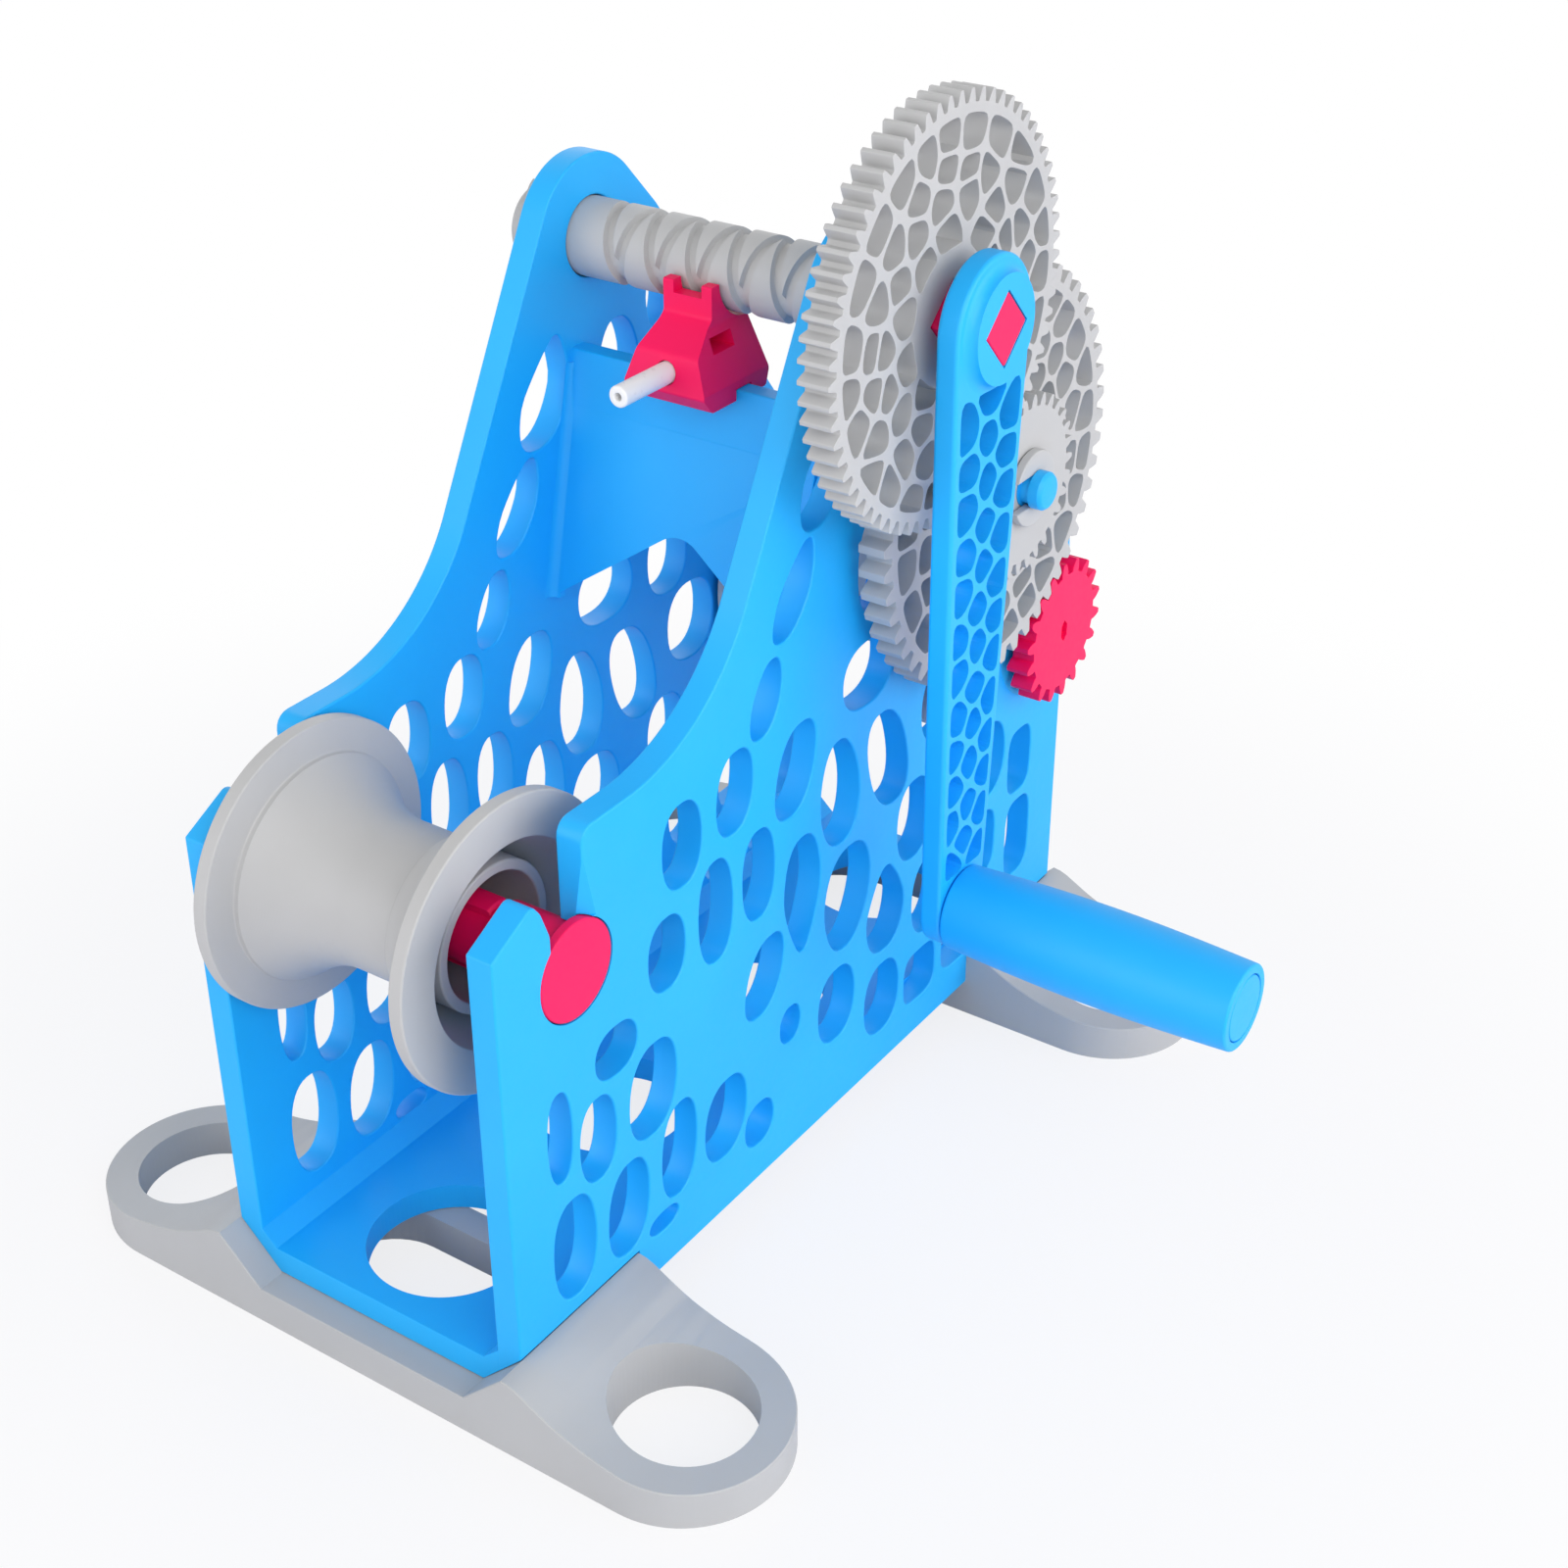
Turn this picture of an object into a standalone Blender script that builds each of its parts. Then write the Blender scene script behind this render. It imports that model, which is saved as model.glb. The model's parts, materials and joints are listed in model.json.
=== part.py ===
# Filament spool winder with a hand crank: blue frame on two grey feet, a traversing
# guide on a double-groove screw, a gear train and two spool shafts with cones.
# Metres, +Z up. The origin is on the floor, mid width, under the front foot's front strip.
# +X is the crank side, -Y is the front, where the filament comes in.
import math
import random
import bpy
import bmesh
from mathutils import Matrix, Vector

# Gaps shared by all pieces
seatGap = 0.0003          # left between two pieces that touch
runGap = 0.0003           # radial play of whatever turns or slides
overrun = 0.002           # how far a cutter reaches past what it cuts
mergeDistance = 0.00001

# Frame
frameLength = 0.2754
frameWidth = 0.100
plateThickness = 0.008
floorUnder = 0.012
floorThickness = 0.008
cornerChamfer = 0.0137
floorHoleRadius = 0.023
floorHoleInset = 0.0295
floorHoleCount = 4
prongHeight = 0.149
prongSlope = 0.008
prongDepth = 0.0155
shoulderHeight = 0.168
slotFront = 0.0215
slotRear = 0.0345
slotLipRise = 0.0152      # top of the shaft slot's front lip, above the shaft's axis
flankAngle = math.radians(60)
towerRadius = 0.0227
rearHeight = 0.152
rearBossRadius = 0.0239
rearBossStep = 0.0004
rearBossOut = 0.003

# Axes, from the floor and from the front or rear edge of the frame
frontShaftY = 0.0305
frontShaftZ = 0.1298
screwRearInset = 0.1128
screwZ = 0.2611
rearShaftInset = 0.0202
rearShaftZ = 0.1310
idlerRearInset = 0.0653
idlerZ = 0.1975

# Feet
footDepth = 0.0512
footLead = 0.0047         # how far a foot stands out in front of the frame
footEdge = 0.0045
footRingX = 0.0863
footRingHole = 0.0200
footRingOuter = 0.0293
footSeatHalf = 0.0365
footPeak = 0.0255
footTail = 0.0112
footOpeningHalf = 0.038
footOpeningRadius = 0.020
footStripEnd = 0.0577     # where the strip's straight sides end and the rings begin

# Shafts
shaftCore = 0.0090
shaftTip = 0.0084
shaftTipChamfer = 0.0015
shaftRidge = 0.0108
shaftRidgeWidth = 0.0070
shaftJournal = 0.0109
shaftJournalLength = 0.0200
frontHeadRadius = 0.0138
frontHeadThickness = 0.0029
frontShaftLength = 0.1174
ridgeStart = 0.0174       # plain length at the shaft's tip, before the ridges
driveCollarRadius = 0.0131
driveCollarLength = 0.0051
driveTipLength = 0.0598   # from mid width to the drive shaft's tip
keyholeRadius = 0.0036
keyholeShare = 0.55

# Gears
crankTeeth = 66
idlerSmallTeeth = 30
idlerLargeTeeth = 52
driveTeeth = 18
gearBacklash = 0.00035
gearBottomGap = 0.0004
pressureAngle = math.radians(20)
crankTipShare = 0.93
idlerSmallTipShare = 0.93
idlerLargeTipShare = 0.63
driveTipShare = 1.00
idlerBossOut = 0.0037
idlerBossRadius = 0.0090
idlerLargeThickness = 0.0082
idlerSmallThickness = 0.0083
crankGearThickness = 0.0091
gearSideGap = 0.0006      # between the faces of the crank gear and the large idler
stubRadius = 0.0055
stubNeck = 0.0045
stubOut = 0.0278
stubChamfer = 0.0012
driveGearThickness = 0.0073
driveGearGap = 0.0019     # from the rear boss to the drive gear
crankHubRadius = 0.0167
rimWidth = 0.0026
webWidth = 0.0015
webWobble = 0.24          # how far an opening strays, in shares of its room
crankRings = (10, 15, 19, 23)
idlerRings = (15, 20, 25)
crankWebSeed = 11
idlerWebSeed = 5

# Lead screw
screwRadius = 0.0109
screwLead = 0.0135
screwGrooveDepth = 0.0018
screwGrooveTurns = 2.375    # turns of each groove on either side of the guide's rest place
screwTail = 0.0118        # how far the screw stands out of the far plate

# Crank
crankShaftSide = 0.01386
crankShaftLength = 0.0469
crankArmGap = 0.0005      # from the stub axle's end to the arm, which swings past it
crankShaftChamfer = 0.0008
crankArmThickness = 0.0065
crankBossThickness = 0.0030
crankBossRadius = 0.0142
crankHeadRadius = 0.0185
crankTailRadius = 0.0118
crankReach = 0.1692
crankLean = math.radians(1.7)
crankBorder = 0.0026
crankHoleMargin = 0.0012
crankHoleRows = 11
crankHoleSeed = 21
crankColumnShare = 0.66   # place of the outer openings, in shares of the half width
crankWobbleShare = 0.10
crankZigzagShare = 0.25   # shift of every other opening, in shares of a row
crankDriftShare = 0.14
gripLength = 0.0870
gripEndRadius = 0.0124
gripMidRadius = 0.0138
gripRim = 0.0030
pinRadius = 0.0045
pinDiscThickness = 0.0022

# Spool cones
coneFlangeRadius = 0.0400
coneFlangeThickness = 0.0043
coneBandRadius = 0.0310
coneBandStep = 0.0023
coneTubeRadius = 0.0205
coneTubeWall = 0.0030
coneTubeEnd = 0.0240
coneCurveLength = 0.0240
coneWallGap = 0.0020      # from the far plate to the fixed cone
coneDiscThickness = 0.0060
slidingFace = 0.0290      # outer face of the sliding cone, from mid width
slidingLip = 0.0080       # where its narrow end starts
slidingLipWall = 0.0018
slidingBoreLength = 0.0060
dishRadius = 0.0280
tubeCurvePower = 2        # how quickly the fixed and the sliding cone swell
slidingCurvePower = 1.7

# Cross panel and guide; their places along the frame count from the screw's axis
panelFoot = -0.0256
panelLow = 0.1620
panelCreaseY = -0.0136
panelCrease = 0.2170
panelTopY = -0.0111
panelTop = 0.2325
panelThickness = 0.0060
panelArch = 0.0290
guideRestX = 0.0010
guideArcGap = 0.0008
guideHeadHalf = 0.0078
guideProngWidth = 0.0033
guideFlareHalf = 0.0130
guideHeadTop = 0.2605
guideNotch = 0.2570
guideWaist = 0.2500
guideFlare = 0.2350
guideBottom = 0.2297
guideNoseY = -0.0264
guideNoseZ = 0.2340
guideChinY = -0.0226
guideBrowY = -0.0246
guideBrowZ = 0.2440
guideNeckY = -0.0171
guideProngThickness = 0.0034
guideBackY = 0.0034
guideBackZ = 0.2340
guideShoulderY = 0.0006
guideHeelY = 0.0020
guideWindowLow = 0.2435
guideWindowHigh = 0.2478
guideWindowFront = -0.0176
guideWindowRear = -0.0081
guideWindowDepth = 0.0055
pawlAngle = math.radians(225)
pawlRadius = 0.0022
pawlTipRadius = 0.0005
pawlReach = 0.0005
pawlLength = 0.0062
pawlTipLength = 0.0018
tubeRadius = 0.0030
tubeBore = 0.0011
tubeZ = 0.2390
tubeFront = -0.0459
tubeSeat = 0.0060

# Clips on the far ends of the screw and the front shaft
clipFlange = 0.0030
clipDepth = 0.0110
screwClipRadius = 0.0165
shaftClipRadius = 0.0190
clipMouth = math.radians(34)
clipBodyMouth = math.radians(47.6)
clipSeam = 0.0002         # the body stands this far back from the flange's bore
clipWall = 0.0036
clipLobe = 0.0042
clipLobeSpread = math.radians(27)
shaftClipTurn = math.radians(15)
idlerClipRadius = 0.0110
idlerClipThickness = 0.0026
idlerClipMouth = math.radians(38)
idlerClipTurn = math.radians(180)   # its mouth faces the front

# How finely the round shapes are cut
roundSteps = 28
smallSteps = 20
screwSteps = 16
plateHolePoints = 7
webHolePoints = 6
armHolePoints = 6
flankPointCount = 2
sharpAngle = math.radians(35)
flatAngle = math.radians(0.5)
sideLiftShare = 0.1       # how far the normal of a foot's side and of its top may lean
topLiftShare = 0.3

# Openings in a side plate, hand-placed: centre along and up, half width, half height,
# lean of the top, narrowing of the top and of the bottom. Along and widths are in
# 275.4ths of the frame length, up and heights in 283.8ths of the tower height. The
# parts in front of the screw stretch with the frame, those behind it keep their size.
plateHoleParts = (275.4, 283.8)
plateScrewPart = 162.6          # where the screw's axis is among the parts along
plateHolePowers = (0.8, 0.9)    # under 1, the openings turn squarer
plateHoleShares = (
    (73.5, 143, 8.3, 12.3, 0, 0, 0), (96.5, 147, 8.0, 12.0, 1, 0, 0),
    (66, 114, 7.8, 11.0, 0, 0, 0), (87.4, 115, 7.6, 15.8, 0, 0, 0),
    (107, 116, 7.5, 14.0, 0, 0, 0), (124.5, 140, 9, 13.5, 3, 0, 0),
    (128, 98, 9, 19, 0, 0, 0.5), (44, 97, 8.5, 7.5, 0, 0, 0),
    (20.5, 84, 4.7, 14, 0, 0, 0), (35.3, 74, 7.3, 13, 0, 0, 0),
    (58.5, 75, 10, 14.5, 1, 0, 0), (24, 46, 8.5, 16, 0, 0, 0),
    (46.5, 43, 8.6, 14.8, 1, 0, 0), (69, 48, 7.7, 15.3, 1, 0, 0),
    (90.5, 44, 9.7, 13, 1, 0, 0), (61.3, 28, 6.4, 3.2, 0, 0, 0),
    (106.5, 31.5, 6.9, 7.2, 0, 0, 0), (109.5, 81, 8.6, 12, 3, 0, 0),
    (122, 57, 5, 6, 0, 0, 0), (146, 49.5, 9.5, 12.5, 0, 0, 0),
    (160, 154, 12.5, 10, 0, 0, 0), (146.5, 122, 9.8, 17, -1, 0.2, 0),
    (171.5, 121, 9.8, 16.5, -4, 0, 0), (201, 127, 11.5, 13, 0, 0, 0),
    (187, 92.5, 9.3, 13.5, 0, 0, 0), (207.5, 92, 8.6, 17, 1, 0, 0),
    (230.5, 91, 10.0, 13, 0, 0, 0), (250.5, 82, 7, 11.4, 0, 0, 0),
    (151, 84.5, 11.8, 17, 1, 0, 0.2), (172, 69, 10.3, 14.8, 0, 0.5, 0),
    (196.5, 61, 9.3, 13.4, 0, 0, 0), (225.5, 61, 11, 12, 0, 0, 0),
    (251.5, 53, 7.5, 14, 0, 0, 0), (171, 37, 9.6, 12.5, 0, 0, 0),
    (193, 33, 9, 9, 0, 0, 0), (216.5, 34.5, 10.5, 10, 0, 0, 0),
    (239, 30.5, 8.3, 5.8, 0, 0.3, 0), (111, 168, 6.5, 10.5, 3, 0.2, 0),
    (124, 194, 7.5, 12.5, 6, 0.4, 0), (138, 223, 10, 15, 5, 0.6, 0),
    (170, 222, 9, 13, 0, 0.2, 0), (189, 238, 5.5, 12, 0, 0.5, 0),
    (190, 153, 9.5, 12, 0, 0, 0), (163, 187, 9, 15, 0, 0, 0),
)
rearSlopeShares = ((189.5, 263.0), (241.0, 196.0))
flankShares = (52.0, 58.4)      # where the front sweep ends at its foot, and its radius

collections = {}


# The origin lies in the middle of the strip in front of the front foot's opening.
def fromFront(distance):
    return distance + footLead - (footDepth / 2 - footOpeningRadius) / 2


def fromScrew(distance):
    return screwAxis[0] + distance


# Distance from the frame's front edge for a place in the parts of plateHoleParts.
def plateAlong(part):
    screwY = frameLength - screwRearInset
    if part < plateScrewPart:
        return part * screwY / plateScrewPart
    behind = (part - plateScrewPart) / (plateHoleParts[0] - plateScrewPart)
    return screwY + behind * screwRearInset


def makeCollection(name, hidden):
    group = bpy.data.collections.new(name)
    bpy.context.scene.collection.children.link(group)
    group.hide_render = hidden
    collections[name] = group
    return group


def makeMaterial(name, colour, roughness, metallic):
    surface = bpy.data.materials.new(name)
    surface.use_nodes = True
    shader = surface.node_tree.nodes["Principled BSDF"]
    shader.inputs["Base Color"].default_value = (*colour, 1)
    shader.inputs["Roughness"].default_value = roughness
    shader.inputs["Metallic"].default_value = metallic
    surface.diffuse_color = (*colour, 1)
    return surface


def addObject(name, mesh, group):
    item = bpy.data.objects.new(name, mesh)
    group.objects.link(item)
    return item


def evaluatedMesh(item):
    bpy.context.view_layer.update()
    depsgraph = bpy.context.evaluated_depsgraph_get()
    mesh = bpy.data.meshes.new_from_object(item.evaluated_get(depsgraph))
    mesh.transform(item.matrix_world)
    return mesh


def closeMesh(mesh):
    work = bmesh.new()
    work.from_mesh(mesh)
    bmesh.ops.remove_doubles(work, verts=work.verts[:], dist=mergeDistance)
    bmesh.ops.recalc_face_normals(work, faces=work.faces[:])
    work.to_mesh(mesh)
    work.free()
    return mesh


# The plane of an outline: side = along Y and up, seen from +X; front = along X and up;
# flat = along X and Y. Its thickness then lies along X, Y or Z.
planes = {
    "side": Matrix(((0, 0, 1, 0), (1, 0, 0, 0), (0, 1, 0, 0), (0, 0, 0, 1))),
    "front": Matrix(((1, 0, 0, 0), (0, 0, -1, 0), (0, 1, 0, 0), (0, 0, 0, 1))),
    "flat": Matrix.Identity(4),
}


# Flat outlines, the first one solid and the rest holes, between two places.
def slab(name, outlines, low, high, plane, group):
    curve = bpy.data.curves.new(name, "CURVE")
    curve.dimensions = "2D"
    curve.fill_mode = "BOTH"
    curve.extrude = (high - low) / 2
    for outline in outlines:
        spline = curve.splines.new("POLY")
        spline.points.add(len(outline) - 1)
        for point, (across, up) in zip(spline.points, outline):
            point.co = (across, up, 0, 1)
        spline.use_cyclic_u = True
    drawn = addObject(name + "_outline", curve, group)
    mesh = evaluatedMesh(drawn)
    bpy.data.objects.remove(drawn)
    bpy.data.curves.remove(curve)
    middle = (low + high) / 2
    mesh.transform(Matrix.Translation((0, 0, -middle if plane == "front" else middle)))
    mesh.transform(planes[plane])
    return addObject(name, closeMesh(mesh), group)


# A profile of (place along X, radius) turned about the X axis.
def turned(name, profile, steps, group, start=0):
    mesh = bpy.data.meshes.new(name)
    verts = [(radius, 0, place) for place, radius in profile]
    count = len(verts)
    closed = profile[0][1] > 0 or profile[-1][1] > 0
    edges = [(i, i + 1) for i in range(count - 1)]
    if closed:
        edges.append((count - 1, 0))
    mesh.from_pydata(verts, edges, [])
    spun = addObject(name + "_profile", mesh, group)
    screw = spun.modifiers.new("turn", "SCREW")
    screw.steps = steps
    screw.render_steps = steps
    screw.use_merge_vertices = True
    screw.merge_threshold = mergeDistance
    result = evaluatedMesh(spun)
    bpy.data.objects.remove(spun)
    result.transform(Matrix.Rotation(start, 4, "Z"))
    result.transform(Matrix.Rotation(math.pi / 2, 4, "Y"))
    return addObject(name, closeMesh(result), group)


def shifted(item, x=0, y=0, z=0):
    item.data.transform(Matrix.Translation((x, y, z)))
    return item


def combine(target, tool, operation):
    tool.display_type = "WIRE"
    tool.hide_render = True
    step = target.modifiers.new(operation.lower() + "_" + tool.name, "BOOLEAN")
    step.operation = operation
    step.object = tool
    step.solver = "EXACT"
    return target


def finish(item, surface, smooth=True):
    item.data.materials.clear()
    item.data.materials.append(surface)
    if smooth:
        item.data.shade_smooth()
        item.data.set_sharp_from_angle(angle=sharpAngle)
    return item


# Put an item's origin on its pivot without moving its shape.
def place(item, pivot, parent=None):
    item.data.transform(Matrix.Translation(-Vector(pivot)))
    item.location = pivot
    if parent is not None:
        item.parent = parent
        item.location = Vector(pivot) - Vector(worldPlaces[parent.name])
    worldPlaces[item.name] = tuple(pivot)
    return item


worldPlaces = {}


def circle(centreA, centreB, radius, steps, start=0):
    return [(centreA + radius * math.cos(start + 2 * math.pi * i / steps),
             centreB + radius * math.sin(start + 2 * math.pi * i / steps))
            for i in range(steps)]


def arc(centreA, centreB, radius, first, last, steps):
    return [(centreA + radius * math.cos(first + (last - first) * i / steps),
             centreB + radius * math.sin(first + (last - first) * i / steps))
            for i in range(steps + 1)]


def rounded(value, power):
    return math.copysign(abs(value) ** power, value)


def holeOutline(row, points):
    along, up, halfWide, halfHigh, lean, pinchTop, pinchBottom = row
    unitB = (screwZ + towerRadius) / plateHoleParts[1]
    outline = []
    for i in range(points):
        angle = 2 * math.pi * (i + 0.5) / points
        wide = rounded(math.cos(angle), plateHolePowers[0])
        high = rounded(math.sin(angle), plateHolePowers[1])
        pinch = pinchTop if high > 0 else pinchBottom
        wide *= 1 - pinch * abs(high)
        outline.append((fromFront(plateAlong(along + halfWide * wide + lean * high)),
                        unitB * (up + halfHigh * high)))
    return outline


# Angle on a circle where a line from an outside point touches it.
def tangentFrom(centre, radius, outside, side):
    away = math.atan2(outside[1] - centre[1], outside[0] - centre[0])
    distance = math.hypot(outside[0] - centre[0], outside[1] - centre[1])
    return away + side * math.acos(radius / distance)


# Side plate seen from +X, front to the left, drawn counter-clockwise.
def plateOutline():
    rearY = frameLength - rearShaftInset
    slopeUnitB = (screwZ + towerRadius) / plateHoleParts[1]
    bulge = math.acos(rearShaftInset / rearBossRadius)
    points = [(0, floorUnder), (frameLength, floorUnder)]
    points += arc(rearY, rearShaftZ, rearBossRadius, -bulge, bulge, 6)
    points.append((frameLength, rearHeight))
    slope = [(plateAlong(a), b * slopeUnitB) for a, b in reversed(rearSlopeShares)]
    points += slope
    screwY = frameLength - screwRearInset
    tower = (screwY, screwZ)
    first = tangentFrom(tower, towerRadius, slope[-1], 1)
    shoulderEnd, flankRadius = [plateAlong(share) for share in flankShares]
    flankCentre = (shoulderEnd, shoulderHeight + flankRadius)
    flankEnd = (flankCentre[0] + flankRadius * math.sin(flankAngle),
                flankCentre[1] - flankRadius * math.cos(flankAngle))
    last = tangentFrom(tower, towerRadius, flankEnd, -1) % (2 * math.pi)
    points += arc(screwY, screwZ, towerRadius, first, last, 12)
    quarter = -math.pi / 2
    points += list(reversed(arc(flankCentre[0], flankCentre[1], flankRadius,
                                quarter, quarter + flankAngle, 8)))
    points.append((slotRear, shoulderHeight))
    seat = shaftJournal + runGap
    rearAngle = math.acos((slotRear - frontShaftY) / seat)
    frontAngle = math.pi - math.acos((frontShaftY - slotFront) / seat)
    points += arc(frontShaftY, frontShaftZ, seat, rearAngle, frontAngle - 2 * math.pi, 20)
    points += [(slotFront, frontShaftZ + slotLipRise), (prongDepth + (slotFront - prongDepth) / 2,
               prongHeight + prongSlope / 2), (prongDepth, prongHeight + prongSlope)]
    points.append((0, prongHeight))
    return [(fromFront(a), b) for a, b in points]


# Gears
def involute(radius, base):
    turn = math.acos(min(1, base / radius))
    return math.tan(turn) - turn


# Tooth flanks of a spur gear as an outline about its own axis.
def gearOutline(teeth, module, tip, root, phase, flankPoints):
    pitch = teeth * module / 2
    base = pitch * math.cos(pressureAngle)
    halfTooth = (math.pi * module - gearBacklash) / 4 / pitch
    points = []
    for tooth in range(teeth):
        middle = phase + 2 * math.pi * tooth / teeth
        flank = []
        for i in range(flankPoints):
            radius = root + (tip - root) * i / (flankPoints - 1)
            spread = involute(max(radius, base), base)
            half = halfTooth + involute(pitch, base) - spread
            flank.append((radius, half))
        for radius, half in flank:
            points.append((radius * math.cos(middle - half), radius * math.sin(middle - half)))
        for radius, half in reversed(flank):
            points.append((radius * math.cos(middle + half), radius * math.sin(middle + half)))
    return points


def movedOutline(outline, along, up):
    return [(a + along, b + up) for a, b in outline]


# Rounded openings round each seed, kept a web apart and inside the given limits.
def cellOutlines(seeds, neighbours, halfWeb, limits, points, softness=7):
    outlines = []
    for index, (seedA, seedB) in enumerate(seeds):
        walls = []
        for other, (otherA, otherB) in enumerate(neighbours):
            if other == index:
                continue
            distance = math.hypot(otherA - seedA, otherB - seedB)
            walls.append((distance / 2 - halfWeb, math.atan2(otherB - seedB, otherA - seedA)))
        outline = []
        for i in range(points):
            angle = 2 * math.pi * (i + 0.5) / points
            total = 0
            for reach, toward in walls:
                facing = math.cos(angle - toward)
                if facing > 0:
                    total += (facing / reach) ** softness
            for limit in limits:
                room = limit(seedA, seedB, math.cos(angle), math.sin(angle))
                if room is not None:
                    total += (1 / room) ** softness
            length = total ** (-1 / softness)
            outline.append((seedA + length * math.cos(angle), seedB + length * math.sin(angle)))
        outlines.append(outline)
    return outlines


def insideCircle(radius):
    def room(a, b, alongA, alongB):
        facing = a * alongA + b * alongB
        return -facing + math.sqrt(facing * facing + radius * radius - a * a - b * b)
    return room


def outsideCircle(radius):
    def room(a, b, alongA, alongB):
        facing = a * alongA + b * alongB
        inside = facing * facing + radius * radius - a * a - b * b
        if facing >= 0 or inside <= 0:
            return None
        return -facing - math.sqrt(inside)
    return room


def underLine(pointA, pointB, normalA, normalB):
    def room(a, b, alongA, alongB):
        facing = alongA * normalA + alongB * normalB
        if facing <= 0:
            return None
        return ((pointA - a) * normalA + (pointB - b) * normalB) / facing
    return room


# Seeds on rings between two radii, each pushed a little off its place.
def ringSeeds(rings, inner, outer, wobble, rng):
    band = (outer - inner) / len(rings)
    seeds = []
    for index, count in enumerate(rings):
        radius = inner + band * (index + 0.5)
        turn = rng.uniform(0, 2 * math.pi)
        for i in range(count):
            angle = turn + 2 * math.pi * (i + rng.uniform(-wobble, wobble)) / count
            reach = radius + band * rng.uniform(-wobble, wobble)
            seeds.append((reach * math.cos(angle), reach * math.sin(angle)))
    return seeds


def webOpenings(rings, hub, rim, seed, points):
    rng = random.Random(seed)
    seeds = ringSeeds(rings, hub, rim, webWobble, rng)
    limits = [insideCircle(rim), outsideCircle(hub)]
    return cellOutlines(seeds, seeds, webWidth / 2, limits, points)


# Places that follow from the sizes above
plateInner = frameWidth / 2 - plateThickness
plateOuter = frameWidth / 2
frontAxis = (fromFront(frontShaftY), frontShaftZ)
screwAxis = (fromFront(frameLength - screwRearInset), screwZ)
idlerAxis = (fromFront(frameLength - idlerRearInset), idlerZ)
rearAxis = (fromFront(frameLength - rearShaftInset), rearShaftZ)

firstDistance = math.dist(screwAxis, idlerAxis)
secondDistance = math.dist(idlerAxis, rearAxis)
firstModule = 2 * firstDistance / (crankTeeth + idlerSmallTeeth)
secondModule = 2 * secondDistance / (idlerLargeTeeth + driveTeeth)
crankTip = firstModule * (crankTeeth / 2 + crankTipShare)
idlerSmallTip = firstModule * (idlerSmallTeeth / 2 + idlerSmallTipShare)
idlerLargeTip = secondModule * (idlerLargeTeeth / 2 + idlerLargeTipShare)
driveTip = secondModule * (driveTeeth / 2 + driveTipShare)
crankRoot = firstDistance - idlerSmallTip - gearBottomGap
idlerSmallRoot = firstDistance - crankTip - gearBottomGap
idlerLargeRoot = secondDistance - driveTip - gearBottomGap
driveRoot = secondDistance - idlerLargeTip - gearBottomGap

towardIdler = math.atan2(idlerAxis[1] - screwAxis[1], idlerAxis[0] - screwAxis[0])
towardRear = math.atan2(rearAxis[1] - idlerAxis[1], rearAxis[0] - idlerAxis[0])
crankPhase = towardIdler
idlerSmallPhase = towardIdler + math.pi + math.pi / idlerSmallTeeth
idlerLargePhase = towardRear
drivePhase = towardRear + math.pi + math.pi / driveTeeth

idlerLargeBack = plateOuter + idlerBossOut + seatGap
idlerLargeFace = idlerLargeBack + idlerLargeThickness
idlerSmallFace = idlerLargeFace + idlerSmallThickness
crankGearBack = idlerLargeFace + gearSideGap
crankGearFace = crankGearBack + crankGearThickness
driveGearBack = plateOuter + rearBossOut + driveGearGap
driveGearFace = driveGearBack + driveGearThickness
driveCollarBack = driveGearBack - driveCollarLength
armBack = plateOuter + stubOut + crankArmGap
armFace = armBack + crankArmThickness
crankBossFace = armFace + crankBossThickness
squareEnd = crankBossFace - crankShaftLength
handleAxis = (screwAxis[0] - crankReach * math.sin(crankLean),
              screwAxis[1] - crankReach * math.cos(crankLean))

# Start from an empty scene
for old in list(bpy.data.objects):
    bpy.data.objects.remove(old, do_unlink=True)
parts = makeCollection("filament_spool_winder", False)
tools = makeCollection("cutters", True)

blue = makeMaterial("blue_plastic", (0.012, 0.36, 0.93), 0.45, 0)
blueFar = makeMaterial("blue_plastic_far", (0.012, 0.35, 0.92), 0.45, 0)
blueFloor = makeMaterial("blue_plastic_floor", (0.012, 0.36, 0.91), 0.45, 0)
bluePanel = makeMaterial("blue_plastic_panel", (0.012, 0.35, 0.90), 0.45, 0)
blueArm = makeMaterial("blue_plastic_arm", (0.012, 0.37, 0.93), 0.45, 0)
bluePin = makeMaterial("blue_plastic_pin", (0.03, 0.42, 0.95), 0.45, 0)
blueGrip = makeMaterial("blue_plastic_grip", (0.012, 0.37, 0.94), 0.42, 0)
greys = {}
for greyName, shade in (("front_foot", 0.48), ("rear_foot", 0.47), ("screw", 0.50),
                        ("crank_gear", 0.56), ("idler_gear", 0.54), ("idler_clip", 0.52),
                        ("front_fixed_cone", 0.50), ("front_sliding_cone", 0.49),
                        ("rear_fixed_cone", 0.50), ("rear_sliding_cone", 0.49),
                        ("screw_clip", 0.50), ("shaft_clip", 0.49)):
    greys[greyName] = makeMaterial("grey_" + greyName, (shade, shade * 0.99, shade * 0.98), 0.5, 0)
redDrive = makeMaterial("red_drive_shaft", (0.95, 0.004, 0.09), 0.4, 0)
redFront = makeMaterial("red_front_shaft", (0.95, 0.004, 0.09), 0.4, 0)
redSquare = makeMaterial("red_square_shaft", (0.94, 0.004, 0.09), 0.4, 0)
redGuide = makeMaterial("red_guide", (0.92, 0.004, 0.09), 0.42, 0)
redPawl = makeMaterial("red_pawl", (0.90, 0.004, 0.08), 0.42, 0)
whiteTube = makeMaterial("white_tube", (0.88, 0.88, 0.87), 0.3, 0)


# Side plates

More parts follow.
